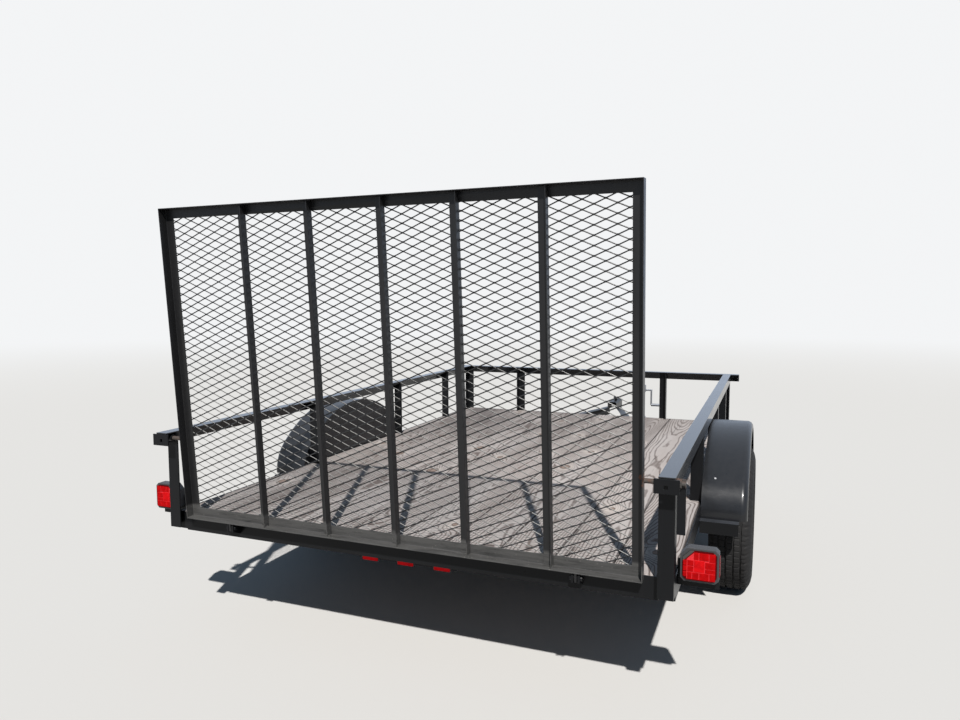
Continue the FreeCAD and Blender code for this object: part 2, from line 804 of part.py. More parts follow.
def hub(side_name, side):
    """Hub barrel, wheel flange and dust cap, bored for the spindle."""
    bore = "spindle_radius + bearing_gap"
    back = "tyre_width / 2 - 18"
    corners = [
        (f"-({back})", bore),
        (f"-({back})", "hub_radius - 6"),
        (f"-({back} - 8)", "hub_radius"),
        ("-hub_flange_thick", "hub_radius"),
        ("-hub_flange_thick", "hub_flange_radius"),
        ("-0.3", "hub_flange_radius"),
        ("-0.3", "34"),
        ("30", "34"),
        ("34", "31"),
        ("52", "29"),
        ("58", "20"),
        ("58", "0"),
        ("52", "0"),
        ("52", bore),
    ]
    return wheel_spot(turned(f"hub_{side_name}", corners, side), side)


# Tongue, coupler and jack

def tongue_arm(side_name, side):
    """Angle under the frame, running in towards the coupler."""
    corners = ell("main_flat", "main_tall", "main_wall", -side, -1)
    spread = "(tongue_rear_half - tongue_front_half)"
    reach = "(tongue_front - tongue_rear)"
    body = run(f"tongue_{side_name}", "y", corners, f"sqrt({spread} ^ 2 + {reach} ^ 2)")
    body.Placement = Placement(Vector(0, 0, 0), Rotation(Vector(0, 0, side), 17))
    bind(body, "Placement.Rotation.Angle", f"atan({spread} / {reach})")
    return place(body, f"{side} * tongue_rear_half", "tongue_rear", "frame_floor")


def coupler():
    """Ball housing with an open socket below and a channel over the tongue arms."""
    floor = "(ball_height - 22)"
    shoulder = f"(coupler_top - coupler_slope - {floor})"
    nose = cylinder("coupler_nose", "coupler_radius", shoulder, None, "0", "ball_place", floor)
    crown = doc.addObject("Part::Cone", "coupler_crown")
    bind(crown, "Radius1", "coupler_radius")
    bind(crown, "Radius2", "coupler_radius - coupler_slope")
    bind(crown, "Height", "coupler_slope")
    place(crown, "0", "ball_place", "coupler_top - coupler_slope")
    long = "(ball_place - tongue_front + 140)"
    tall = "(coupler_top - frame_floor)"
    body = run("coupler_channel", "y", [
        ("-coupler_radius", "0"),
        ("coupler_radius", "0"),
        ("coupler_radius", f"{tall} - coupler_slope"),
        ("coupler_radius - coupler_slope", tall),
        ("coupler_slope - coupler_radius", tall),
        ("-coupler_radius", f"{tall} - coupler_slope"),
    ], long)
    place(body, "0", f"ball_place - {long}", "frame_floor")
    outside = fuse("coupler_outside", [nose, crown, body])
    mouth = cylinder("coupler_mouth", "ball_radius", f"ball_height - {floor}", None, "0", "ball_place", floor)
    socket = doc.addObject("Part::Sphere", "coupler_socket")
    bind(socket, "Radius", "ball_radius")
    place(socket, "0", "ball_place", "ball_height")
    hollow = box(
        "coupler_hollow",
        "2 * (coupler_radius - coupler_wall)",
        f"{long} - coupler_radius",
        "coupler_top - coupler_wall - frame_floor",
        "coupler_wall - coupler_radius",
        f"ball_place - {long}",
        "frame_floor",
    )
    return cut("coupler", outside, fuse("coupler_space", [mouth, socket, hollow]))


def coupler_latch():
    """Latch lever lying along the top of the coupler."""
    corners = [
        ("0", "0"),
        ("70", "0"),
        ("130", "26"),
        ("130", "34"),
        ("66", "12"),
        ("16", "18"),
        ("0", "12"),
    ]
    body = run("coupler_latch", "x", [(f"-({u})" if u != "0" else u, v) for u, v in corners], "24", centred=True)
    return place(body, "0", "ball_place - 10", "coupler_top")


def jack_x():
    return "jack_offset"


def jack_tube():
    """Outer tube with its head, and the collar, pivot and plate that hold it to the right tongue arm."""
    outer = cylinder("jack_outer", "jack_radius", "jack_top - jack_bottom", None, jack_x(), "jack_place", "jack_bottom")
    head = cylinder(
        "jack_head", "jack_head_radius", "jack_head_tall", None, jack_x(), "jack_place", "jack_top - jack_head_tall"
    )
    collar_z = "(frame_floor - (main_tall + jack_collar_tall) / 2)"
    collar = cylinder("jack_collar", "jack_head_radius", "jack_collar_tall", None, jack_x(), "jack_place", collar_z)
    bore = cylinder(
        "jack_bore",
        "jack_radius - jack_wall",
        "jack_top - jack_bottom - jack_wall",
        None,
        jack_x(),
        "jack_place",
        "jack_bottom",
    )
    slope = "(tongue_rear_half - tongue_front_half) / (tongue_front - tongue_rear)"
    arm_x = f"(tongue_front_half + (tongue_front - jack_place) * {slope})"
    half = "jack_plate_long / 2"
    plate = run("jack_plate", "z", [
        (f"{arm_x} - {jack_x()} + {half} * {slope} + 0.2", f"-{half}"),
        (f"{arm_x} - {jack_x()} + {half} * {slope} + jack_plate_wall + 0.2", f"-{half}"),
        (f"{arm_x} - {jack_x()} - {half} * {slope} + jack_plate_wall + 0.2", half),
        (f"{arm_x} - {jack_x()} - {half} * {slope} + 0.2", half),
    ], "main_tall")
    place(plate, jack_x(), "jack_place", "frame_floor - main_tall")
    pivot = cylinder(
        "jack_pivot",
        "jack_pivot_radius",
        f"{jack_x()} - {arm_x} - jack_plate_wall",
        ALONG_X,
        f"{arm_x} + jack_plate_wall",
        "jack_place",
        "frame_floor - main_tall / 2",
    )
    return cut("jack_tube", fuse("jack_outside", [outer, head, collar, plate, pivot]), bore)


def jack_leg():
    """Sliding leg and the foot plate that stands on the ground."""
    radius = "(jack_radius - jack_wall - jack_gap)"
    leg = cylinder("jack_inner", radius, "jack_leg_top", None, jack_x(), "jack_place", "0")
    foot = box(
        "jack_foot",
        "jack_foot_size",
        "jack_foot_size",
        "jack_foot_thick",
        f"{jack_x()} - jack_foot_size / 2",
        "jack_place - jack_foot_size / 2",
        "0",
    )
    return fuse("jack_leg", [leg, foot])


def jack_crank():
    """Crank rod out of the jack's head, its arm and its upright grip."""
    z = "(jack_top - 40)"
    start = f"{jack_x()} + jack_head_radius"
    shaft = cylinder("crank_shaft", "crank_radius", "50", ALONG_X, start, "jack_place", z)
    arm = cylinder(
        "crank_arm", "crank_radius", "crank_throw", None, f"{start} + 50 - crank_radius", "jack_place", f"{z} - crank_throw"
    )
    grip = cylinder(
        "crank_grip", "crank_radius + 4", "90", ALONG_X, f"{start} + 50 - crank_radius", "jack_place", f"{z} - crank_throw"
    )
    return fuse("jack_crank", [shaft, arm, grip])


# Ramp gate. Its pieces are drawn flat, with X across, Y up the gate and Z to the rear.

def lean_gate(body):
    """Stands a flat gate piece up at the rear of the frame, leaning back."""
    body.Placement = Placement(Vector(0, 0, 0), Rotation(Vector(1, 0, 0), 94))
    bind(body, "Placement.Rotation.Angle", "90 + gate_lean")
    return place(body, "0", "gate_front_y", "gate_bottom")


def gate_frame():
    """Angle frame: a flat flange all round and legs along the outer edge to the rear."""
    body = doc.addObject("PartDesign::Body", "gate_frame")
    half = "gate_width / 2"
    # thickness of the ring, depth to the rear
    for ring, depth in (("gate_leg", "gate_wall"), ("gate_wall", "gate_leg")):
        sketch = outline_sketch(body, "XY_Plane", rectangle(f"-{half}", "0", half, "gate_height"))
        add_pad(body, "z", sketch, depth)
        if ring == "gate_leg":
            inside = rectangle(f"{ring} - {half}", ring, f"{half} - {ring}", f"gate_height - {ring}")
            add_pocket(body, outline_sketch(body, "XY_Plane", inside), "gate_leg", reversed_cut=True)
            continue
        deep = rectangle(f"{ring} - {half}", ring, f"{half} - {ring}", f"gate_height - {ring}")
        sketch = outline_sketch(body, "XY_Plane", deep)
        sketch.AttachmentOffset = Placement(Vector(0, 0, value("gate_wall")), Rotation())
        bind(sketch, "AttachmentOffset.Base.z", "gate_wall")
        add_pocket(body, sketch, "gate_leg", reversed_cut=True)
        inside = rectangle(f"gate_leg - {half}", "gate_leg", f"{half} - gate_leg", "gate_height - gate_leg")
        add_pocket(body, outline_sketch(body, "XY_Plane", inside), "gate_leg", reversed_cut=True)
    return lean_gate(body)


def gate_bars():
    """Upright angles inside the frame, each with its leg on the right edge."""
    bars = []
    for number, share in enumerate(GATE_BARS):
        body = run(
            f"gate_bar_{number}",
            "y",
            ell("bar_flange", "bar_depth", "gate_wall", -1, 1),
            "gate_height - 2 * gate_wall",
        )
        bars.append((body, f"{share} * gate_width"))
    pieces = []
    for body, across in bars:
        body.Placement = Placement(Vector(0, 0, 0), Rotation(Vector(1, 0, 0), 4))
        bind(body, "Placement.Base.x", across)
        bind(body, "Placement.Base.y", "gate_wall")
        bind(body, "Placement.Base.z", "gate_wall")
        body.Placement.Rotation = Rotation()
        pieces.append(body)
    return lean_gate(group("gate_bars", pieces))


def gate_mesh():
    """Expanded mesh as two layers of slanting strands, lapped on the frame's front face."""
    half = value("gate_width") / 2 - value("mesh_lap")
    low = value("mesh_lap")
    high = value("gate_height") - value("mesh_lap")
    rise = value("mesh_short") / value("mesh_long")
    step = value("mesh_short")
    sheet_thick = value("mesh_sheet")
    strand = value("mesh_strand") / 2
    strands = []
    for layer, slope in enumerate((rise, -rise)):
        reach = abs(slope) * half
        rows = int((high - low + 2 * reach) / step) + 1
        for row in range(rows):
            middle = low - reach + (row + 0.5) * step
            ends = sorted((-half, half, (low - middle) / slope, (high - middle) / slope))[1:3]
            if ends[1] - ends[0] < step or not low <= middle + slope * sum(ends) / 2 <= high:
                continue
            strands.append(mesh_strand(ends, middle, slope, strand, -(layer + 1) * sheet_thick, sheet_thick))
    piece = doc.addObject("Part::Feature", "gate_mesh")
    piece.Shape = Part.makeCompound(strands)
    return lean_gate(piece)


def mesh_strand(ends, middle, slope, half_wide, floor, thick):
    length = math.hypot(1, slope)
    along = Vector(1 / length, slope / length, 0)
    side = Vector(-along.y, along.x, 0) * half_wide
    first, last = [Vector(x, middle + slope * x, floor) for x in ends]
    corners = [first - side, last - side, last + side, first + side, first - side]
    return Part.Face(Part.makePolygon(corners)).extrude(Vector(0, 0, thick))


def hinge_y():
    return "(gate_front_y - hinge_behind)"


def hinge_z():
    return "(gate_bottom - hinge_drop)"


def gate_hinge_ears():
    """Ears under the gate that turn on the pins."""
    ears = []
    for side_name, side in SIDES:
        name = f"hinge_ear_{side_name}"
        x = f"{side} * hinge_place - hinge_plate / 2"
        plate = run(name, "x", [
            ("-12", "-12"),
            ("12", "-12"),
            ("15", "hinge_drop - (hinge_behind - 15) * tan(gate_lean * 1deg) - 0.2"),
            ("-15", "hinge_drop - (hinge_behind + 15) * tan(gate_lean * 1deg) - 0.2"),
        ], "hinge_plate")
        place(plate, x, hinge_y(), hinge_z())
        bore = cylinder(f"{name}_bore", "hinge_pin_radius + hinge_gap", "hinge_plate", ALONG_X, x, hinge_y(), hinge_z())
        ears.append(cut(f"{name}_cut", plate, bore))
    return group("gate_hinge_ears", ears)


def hinge_lugs():
    """Pairs of lugs on the rear member, each pair with its pin."""
    sets = []
    for side_name, side in SIDES:
        pieces = []
        for lug_name, lug in (("in", -1), ("out", 1)):
            offset = "(hinge_plate / 2 + hinge_side_gap)"
            start = f"{side} * hinge_place + {offset}" if lug > 0 else f"{side} * hinge_place - {offset} - hinge_plate"
            body = run(f"hinge_lug_{side_name}_{lug_name}", "x", [
                ("-13", "-13"),
                (f"frame_rear - {hinge_y()}", "-30"),
                (f"frame_rear - {hinge_y()}", "16"),
                ("-13", "13"),
            ], "hinge_plate")
            pieces.append(place(body, start, hinge_y(), hinge_z()))
        half = "(hinge_plate * 1.5 + hinge_side_gap + 6)"
        pin = cylinder(
            f"hinge_pin_{side_name}",
            "hinge_pin_radius",
            f"2 * {half}",
            ALONG_X,
            f"{side} * hinge_place - {half}",
            hinge_y(),
            hinge_z(),
        )
        pieces.append(pin)
        sets.append(fuse(f"hinge_set_{side_name}", pieces))
    return group("hinge_lugs", sets)


# Gate latch

def latch_plates():
    """End plate and guide tube under each rail's rear end."""
    plates = []
    guide_long = "(rail_leg - rail_wall)"
    for side_name, side in SIDES:
        low_x = "rail_half + latch_plate_out - latch_plate_width"
        plate = run(f"latch_plate_{side_name}", "y", rectangle(
            "0" if side > 0 else "-latch_plate_width",
            "-latch_plate_tall",
            "latch_plate_width" if side > 0 else "0",
            "0",
        ), "latch_plate_thick")
        across = f"{side} * latch_plate_width * 0.47"
        hole = outline_sketch(plate, "XZ_Plane", rectangle(
            f"{across} - latch_slot / 2",
            "-latch_plate_tall * 0.55 - latch_slot / 2",
            f"{across} + latch_slot / 2",
            "-latch_plate_tall * 0.55 + latch_slot / 2",
        ))
        add_pocket(plate, hole, "3 * latch_plate_thick", centred=True)
        place(plate, f"{side} * ({low_x})", "-latch_plate_thick", "post_top")
        start = "rail_half - rail_leg" if side > 0 else "-(rail_half - rail_wall)"
        guide = cylinder(
            f"latch_guide_{side_name}", "latch_guide_radius", guide_long, ALONG_X, start, "latch_behind", "latch_height"
        )
        bore = cylinder(
            f"latch_bore_{side_name}",
            "latch_pin_radius + 0.6",
            guide_long,
            ALONG_X,
            start,
            "latch_behind",
            "latch_height",
        )
        plates.append(plate)
        plates.append(cut(f"latch_tube_{side_name}", guide, bore))
    return group("latch_plates", plates)


def latch_pins():
    """Round pins through the guides, each with a nut outside the rail; the right one has a flat handle."""
    pins = []
    for side_name, side in SIDES:
        inner = "(gate_width / 2 + latch_tip_gap)"
        outer = "(rail_half + 26)"
        start = inner if side > 0 else f"-{outer}"
        rod = cylinder(
            f"latch_rod_{side_name}", "latch_pin_radius", f"{outer} - {inner}", ALONG_X, start, "latch_behind", "latch_height"
        )
        nut_x = "rail_half + 0.3" if side > 0 else "-(rail_half + 0.3) - 14"
        nut = doc.addObject("Part::Prism", f"latch_nut_{side_name}")
        nut.Polygon = 6
        bind(nut, "Circumradius", "2 * latch_pin_radius")
        bind(nut, "Height", "14")
        place(nut, nut_x, "latch_behind", "latch_height", ALONG_X)
        members = [rod, nut]
        if side > 0:
            handle = box(
                "latch_handle",
                "latch_handle_width",
                "latch_handle_wall",
                "latch_handle_long",
                "rail_half + 0.3",
                "latch_behind + latch_pin_radius - 2",
                "latch_height + 12 - latch_handle_long",
            )
            members.append(handle)
        pins.append(fuse(f"latch_pin_{side_name}", members))
    return group("latch_pins", pins)


# Lamps

def lamp_corners(inset):
    """Square lamp outline with cut corners, the inner top one cut deeper."""
    low = inset
    right = f"lamp_size - {inset}"
    top = f"lamp_tall - {inset}"
    small = "lamp_chamfer * 0.5"
    return [
        (f"{low} + {small}", low),
        (f"{right} - {small}", low),
        (right, f"{low} + {small}"),
        (right, f"{top} - {small}"),
        (f"{right} - {small}", top),
        (f"{low} + lamp_chamfer", top),
        (low, f"{top} - lamp_chamfer"),
        (low, f"{low} + {small}"),
    ]


def mirrored(corners, side):
    if side > 0:
        return corners
    return [(f"-({u})" if u != "0" else u, v) for u, v in corners]


def lamp_x(side):
    return f"{side} * (half_width + lamp_in)"


def tail_lamps():
    """Grey housings with a raised rim around the lens."""
    housings = []
    for side_name, side in SIDES:
        body = run(f"tail_lamp_{side_name}", "y", mirrored(lamp_corners("0"), side), "lamp_depth")
        recess = outline_sketch(body, "XZ_Plane", mirrored(lamp_corners("lamp_rim"), side))
        add_pocket(body, recess, "lens_depth / 2", reversed_cut=False)
        housings.append(place(body, lamp_x(side), "lamp_behind", "lamp_floor"))
    return group("tail_lamps", housings)


def tail_lenses():
    lenses = []
    for side_name, side in SIDES:
        corners = mirrored(lamp_corners("(lamp_rim + 0.3)"), side)
        body = run(f"tail_lens_{side_name}", "y", corners, "lens_depth")
        lenses.append(place(body, lamp_x(side), "lamp_behind - lens_depth / 2", "lamp_floor"))
    return group("tail_lenses", lenses)


def lamp_brackets():
    """Plates on the side frame that carry the tail lamps."""
    plates = []
    for side_name, side in SIDES:
        wide = "(lamp_in + lamp_size)"
        start = "half_width" if side > 0 else f"-half_width - {wide}"
        plate = box(
            f"lamp_plate_{side_name}",
            wide,
            "bracket_wall",
            "lamp_tall - 20",
            start,
            "lamp_behind + lamp_depth",
            "lamp_floor - 30",
        )
        plates.append(plate)
    return group("lamp_brackets", plates)


def lamp_bar():
    """Plate hanging from the first joist."""
    y = "(frame_rear + joist_first - bracket_wall)"
    return box("lamp_bar", "lamp_bar_width", "bracket_wall", "lamp_bar_tall", "-lamp_bar_width / 2", y, "lamp_bar_floor")


def bar_lamps():
    """Three small lamps on the plate."""
    lamps = []
    for number in range(3):
        corners = rectangle("-bar_lamp_width / 2", "-bar_lamp_tall / 2", "bar_lamp_width / 2", "bar_lamp_tall / 2")
        body = run(f"bar_lamp_{number}", "y", corners, "bar_lamp_depth")
        x = f"({number} - 1) * bar_lamp_pitch"
        y = "frame_rear + joist_first - bracket_wall - bar_lamp_depth"
        lamps.append(place(body, x, y, "lamp_bar_floor + bar_lamp_tall / 2 + 2"))
    return group("bar_lamps", lamps)


def build():
    """Makes every node of the trailer."""
    nodes = [
        frame_rear_member(),
        frame_front_member(),
        group("floor_joists", [joist(number) for number in range(JOISTS)]),
        deck_boards(),
        front_rail(),
        front_posts(),
        fender_stubs(),
        axle_beam(),
        spring_hangers(),
        u_bolts(),
        coupler(),
        coupler_latch(),
        jack_tube(),
        jack_leg(),
        jack_crank(),
        gate_frame(),
        gate_bars(),
        gate_mesh(),
        gate_hinge_ears(),
        hinge_lugs(),
        latch_plates(),
        latch_pins(),
        tail_lamps(),
        tail_lenses(),
        lamp_brackets(),
        lamp_bar(),
        bar_lamps(),
    ]
    for side_name, side in SIDES:
        nodes.append(frame_side(f"frame_{side_name}", side))
        nodes.append(side_rail(side_name, side))
        nodes.append(side_posts(side_name, side))
        nodes.append(fender(side_name, side))
        nodes.append(leaf_spring(side_name, side))
        nodes.append(tyre(side_name, side))
        nodes.append(rim(side_name, side))
        nodes.append(hub(side_name, side))
        nodes.append(tongue_arm(side_name, side))
    return nodes


def check(nodes):
    """Stops if an object failed or a node is empty or broken."""
    for thing in doc.Objects:
        if "Invalid" in thing.State or "Error" in thing.State:
            raise RuntimeError(f"{thing.Label} failed: {thing.State}")
    bad = [n.Label for n in nodes if n.Shape.isNull() or not n.Shape.isValid() or not n.Shape.Solids]
    if bad:
        raise RuntimeError("no valid solid in " + ", ".join(bad))


def export(nodes):
    os.makedirs("parts", exist_ok=True)
    for node in nodes:
        node.Shape.exportStep(f"parts/{node.Label}.step")
    print(len(nodes), "nodes written")


fill_sheet()
all_nodes = build()
doc.recompute()
check(all_nodes)
export(all_nodes)
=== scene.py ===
"""Looks, light and camera for the utility trailer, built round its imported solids."""

import math
import random

import bmesh
import bpy
from bpy.props import FloatProperty, FloatVectorProperty, IntProperty, PointerProperty
from bpy.types import Operator, Panel, PropertyGroup
from mathutils import Matrix, Vector


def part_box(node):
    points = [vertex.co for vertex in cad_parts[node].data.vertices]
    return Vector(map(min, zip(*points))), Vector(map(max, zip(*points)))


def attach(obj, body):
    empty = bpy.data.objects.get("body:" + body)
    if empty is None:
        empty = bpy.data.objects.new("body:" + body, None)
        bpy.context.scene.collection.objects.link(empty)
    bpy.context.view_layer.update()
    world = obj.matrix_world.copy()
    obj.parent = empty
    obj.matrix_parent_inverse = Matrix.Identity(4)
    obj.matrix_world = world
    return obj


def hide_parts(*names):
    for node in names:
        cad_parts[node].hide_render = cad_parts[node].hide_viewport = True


bl_info = {
    "name": "Utility trailer looks",
    "version": (1, 0, 0),
    "blender": (4, 5, 0),
    "location": "View3D > Sidebar > Trailer",
    "description": "Adds mesh, tread, lamps, welds and finishes to a packed utility trailer",
    "category": "Object",
}

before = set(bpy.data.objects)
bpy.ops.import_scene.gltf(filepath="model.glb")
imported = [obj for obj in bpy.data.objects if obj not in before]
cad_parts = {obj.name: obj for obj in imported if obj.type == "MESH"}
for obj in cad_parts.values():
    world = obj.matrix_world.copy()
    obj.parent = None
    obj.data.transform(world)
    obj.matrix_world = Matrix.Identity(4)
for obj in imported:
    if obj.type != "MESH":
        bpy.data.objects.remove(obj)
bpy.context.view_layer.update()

# Y of the rails' rear ends, from which the part's source counts its lengths
REAR_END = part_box("top_rail_left")[0].y


def along(millimetres):
    """Row frame Y of a place counted forward from the rails' rear ends."""
    return REAR_END + millimetres / 1000


SIDES = (("left", -1), ("right", 1))

# Counts and places that follow the solids; those along the trailer in millimetres
BOARDS = 10
JOIST_PLACES = (229, 809, 1389, 1969, 2549, 3140)
POST_PLACES = (1030, 1965, 2700)
REAR_POST = 53
FRONT_POST = 3194
POST_FOOT = 0.527
POST_HEAD = 0.864
REAR_POST_HEAD = 0.865
MIDDLE_POST_X = 0.543
GATE_WIDE = 1.828
GATE_TALL = 1.234
GATE_LEAN = math.radians(4.15)
GATE_FOOT = (0, along(81), 0.519)
GATE_BAR_SHARES = (0.3386, 0.1756, 0.0263, -0.1335, -0.2905)
WHEEL_NUTS = 5
NUT_CIRCLE = 0.05715
BAR_LAMP_PITCH = 0.153


# Sizes and colours that a user would change


def colour_prop(name, description, default):
    return FloatVectorProperty(
        name=name, description=description, default=default, size=3, subtype="COLOR", min=0, max=1
    )


def length_prop(name, description, default):
    return FloatProperty(
        name=name, description=description, default=default, min=0, unit="LENGTH", precision=4
    )


class TrailerSizes(PropertyGroup):
    diamond_long: length_prop("Diamond length", "Long way of one diamond of the gate's mesh", 0.0723)
    diamond_short: length_prop("Diamond height", "Short way of one diamond of the gate's mesh", 0.031)
    strand_width: length_prop("Strand width", "Width of one strand of the gate's mesh", 0.0037)
    strand_thick: length_prop("Strand thickness", "Thickness of one strand of the gate's mesh", 0.002)
    strand_tilt: FloatProperty(
        name="Strand tilt", description="Turn of the strands out of the sheet", default=0.66, subtype="ANGLE"
    )
    groove_depth: length_prop("Groove depth", "Depth of the tyre's tread grooves", 0.007)
    tread_steps: IntProperty(
        name="Tread steps", description="Steps of the tread round the tyre", default=432, min=24
    )
    weld_radius: length_prop("Weld radius", "Half width of a weld bead", 0.0035)
    edge_round: length_prop("Edge rounding", "Rounding of the steel edges", 0.0012)


class TrailerFinish(PropertyGroup):
    paint: colour_prop("Paint", "Black paint of the frame and posts", (0.0085, 0.009, 0.0102))
    gate_paint: colour_prop("Gate paint", "Duller paint of the gate", (0.018, 0.018, 0.019))
    dust: colour_prop("Dust", "Dust that lies on the paint", (0.2, 0.19, 0.18))
    scuff: colour_prop("Scuffs", "Worn paint on the gate's lower rail", (0.165, 0.163, 0.158))
    rust: colour_prop("Rust", "Rust at the latch holes", (0.19, 0.07, 0.03))
    wood_pale: colour_prop("Pale wood", "Early wood of the weathered boards", (0.6, 0.54, 0.512))
    wood_dark: colour_prop("Dark wood", "Late wood of the weathered boards", (0.17, 0.128, 0.11))
    rubber: colour_prop("Rubber", "Tyres", (0.029, 0.029, 0.03))
    lens: colour_prop("Lens", "Red lamp lenses", (0.6, 0.0055, 0.007))
    zinc: colour_prop("Zinc", "Plated steel", (0.34, 0.345, 0.36))


class TrailerStage(PropertyGroup):
    sun_power: FloatProperty(name="Sun", description="Strength of the key light", default=4.1, min=0)
    sky_power: FloatProperty(
        name="Sky", description="Strength of the light from all round", default=0.135, min=0
    )
    floor: colour_prop("Floor", "Colour of the floor", (0.78, 0.77, 0.75))
    floor_bounce: colour_prop("Floor bounce", "Colour that the floor sends back up", (0.2, 0.19, 0.18))
    backdrop: colour_prop("Backdrop", "Colour behind the object", (0.9, 0.91, 0.92))


# Shader building


class Graph:
    """A small hand for placing and linking shader nodes."""

    def __init__(self, tree):
        self.tree = tree

    def add(self, kind, values=None, **settings):
        node = self.tree.nodes.new(kind)
        for key, setting in settings.items():
            setattr(node, key, setting)
        self.fill(node, values or {})
        return node

    def fill(self, node, values):
        """Links or sets several inputs of a node."""
        for key, entry in values.items():
            self.feed(node.inputs[key], entry)

    def feed(self, socket, entry):
        if isinstance(entry, bpy.types.NodeSocket):
            self.tree.links.new(entry, socket)
        else:
            socket.default_value = entry

    def math(self, operation, first, second=0.0, clamp=False):
        node = self.add("ShaderNodeMath", {0: first, 1: second}, operation=operation, use_clamp=clamp)
        return node.outputs[0]

    def times(self, first, *others, clamp=False):
        for other in others:
            first = self.math("MULTIPLY", first, other, clamp)
        return first

    def plus(self, first, *others):
        for other in others:
            first = self.math("ADD", first, other)
        return first

    def minus(self, first, second, clamp=False):
        return self.math("SUBTRACT", first, second, clamp)

    def place(self):
        """Where a point lies in its object, which is the row frame at rest."""
        return self.add("ShaderNodeTexCoord").outputs["Object"]

    def axes(self, vector):
        """The X, Y and Z of a vector."""
        return self.add("ShaderNodeSeparateXYZ", {0: vector}).outputs

    def vector(self, x, y, z):
        return self.add("ShaderNodeCombineXYZ", {0: x, 1: y, 2: z}).outputs[0]

    def mix(self, factor, first, second):
        node = self.add("ShaderNodeMix", data_type="RGBA")
        self.feed(node.inputs["Factor"], factor)
        self.feed(node.inputs[6], first)
        self.feed(node.inputs[7], second)
        return node.outputs[2]

    def blend(self, factor, first, second):
        node = self.add("ShaderNodeMix", data_type="FLOAT")
        self.feed(node.inputs["Factor"], factor)
        self.feed(node.inputs[2], first)
        self.feed(node.inputs[3], second)
        return node.outputs[0]

    def ramp(self, value, low, high):
        """0 at low and 1 at high, smooth between."""
        node = self.add("ShaderNodeMapRange", {0: value, 1: low, 2: high}, interpolation_type="SMOOTHSTEP")
        return node.outputs[0]

    def noise(self, vector, scale, detail=3.0, roughness=0.55):
        values = {"Vector": vector, "Scale": scale, "Detail": detail, "Roughness": roughness}
        return self.add("ShaderNodeTexNoise", values).outputs[0]

    def bump(self, height, distance, strength):
        values = {"Height": height, "Distance": distance, "Strength": strength}
        return self.add("ShaderNodeBump", values).outputs[0]

    def stretch(self, vector, factors):
        values = {0: vector, 1: factors}
        return self.add("ShaderNodeVectorMath", values, operation="MULTIPLY").outputs[0]


def rgba(colour):
    return (*colour, 1.0)


def new_group(name, inputs, outputs):
    """An empty node group with named sockets: name, kind, default."""
    group = bpy.data.node_groups.new(name, "ShaderNodeTree")
    for label, kind, default in inputs:
        socket = group.interface.new_socket(label, in_out="INPUT", socket_type=kind)
        socket.default_value = default
    for label, kind in outputs:
        group.interface.new_socket(label, in_out="OUTPUT", socket_type=kind)
    graph = Graph(group)
    return graph, graph.add("NodeGroupInput").outputs, graph.add("NodeGroupOutput").inputs


def surface_group():
    """Uneven colour, settled dust and fine relief for a painted or plated surface."""
    name = "settled_surface"
    if name in bpy.data.node_groups:
        return bpy.data.node_groups[name]
    graph, given, made = new_group(
        name,
        (
            ("Colour", "NodeSocketColor", (0.02, 0.02, 0.02, 1)),
            ("Dust", "NodeSocketColor", (0.2, 0.19, 0.18, 1)),
            ("Dust amount", "NodeSocketFloat", 0.2),
            ("Roughness", "NodeSocketFloat", 0.4),
            ("Mottle", "NodeSocketFloat", 0.2),
            ("Relief scale", "NodeSocketFloat", 220.0),
        ),
        (
            ("Colour", "NodeSocketColor"),
            ("Roughness", "NodeSocketFloat"),
            ("Height", "NodeSocketFloat"),
            ("Dust mask", "NodeSocketFloat"),
        ),
    )
    place = graph.add("ShaderNodeTexCoord").outputs
    broad = graph.noise(place["Object"], 3.2, 5.0, 0.6)
    fine = graph.noise(place["Object"], 38.0, 4.0, 0.65)
    streaks = graph.noise(graph.stretch(place["Object"], (60.0, 60.0, 3.0)), 1.0, 3.0)
    upward = graph.ramp(graph.axes(place["Normal"])[2], 0.1, 0.95)
    low = graph.times(graph.ramp(graph.axes(place["Object"])[2], 0.62, 0.05), 0.35)
    patches = graph.ramp(graph.plus(graph.times(broad, 0.6), graph.times(fine, 0.4)), 0.36, 0.66)
    dusty = graph.times(graph.plus(upward, low), graph.plus(patches, 0.25))
    streaked = graph.times(graph.ramp(streaks, 0.5, 0.8), 0.22)
    mask = graph.times(graph.plus(dusty, streaked), given["Dust amount"], clamp=True)
    lightness = graph.plus(graph.times(graph.minus(broad, 0.5), given["Mottle"]), 1.0)
    values = {"Hue": 0.5, "Saturation": 1.0, "Value": lightness, "Fac": 1.0, "Color": given["Colour"]}
    shaded = graph.add("ShaderNodeHueSaturation", values).outputs[0]
    graph.feed(made["Colour"], graph.mix(mask, shaded, given["Dust"]))
    rougher = graph.times(graph.minus(fine, 0.45), 0.22)
    grain = graph.plus(given["Roughness"], rougher, graph.times(mask, 0.5))
    graph.feed(made["Roughness"], graph.math("MAXIMUM", grain, 0.05, clamp=True))
    values = {"Vector": place["Object"], "Scale": given["Relief scale"], "Detail": 2.0}
    relief = graph.add("ShaderNodeTexNoise", values).outputs[0]
    graph.feed(made["Height"], graph.plus(relief, graph.times(fine, 0.6)))
    graph.feed(made["Dust mask"], mask)
    return graph.tree


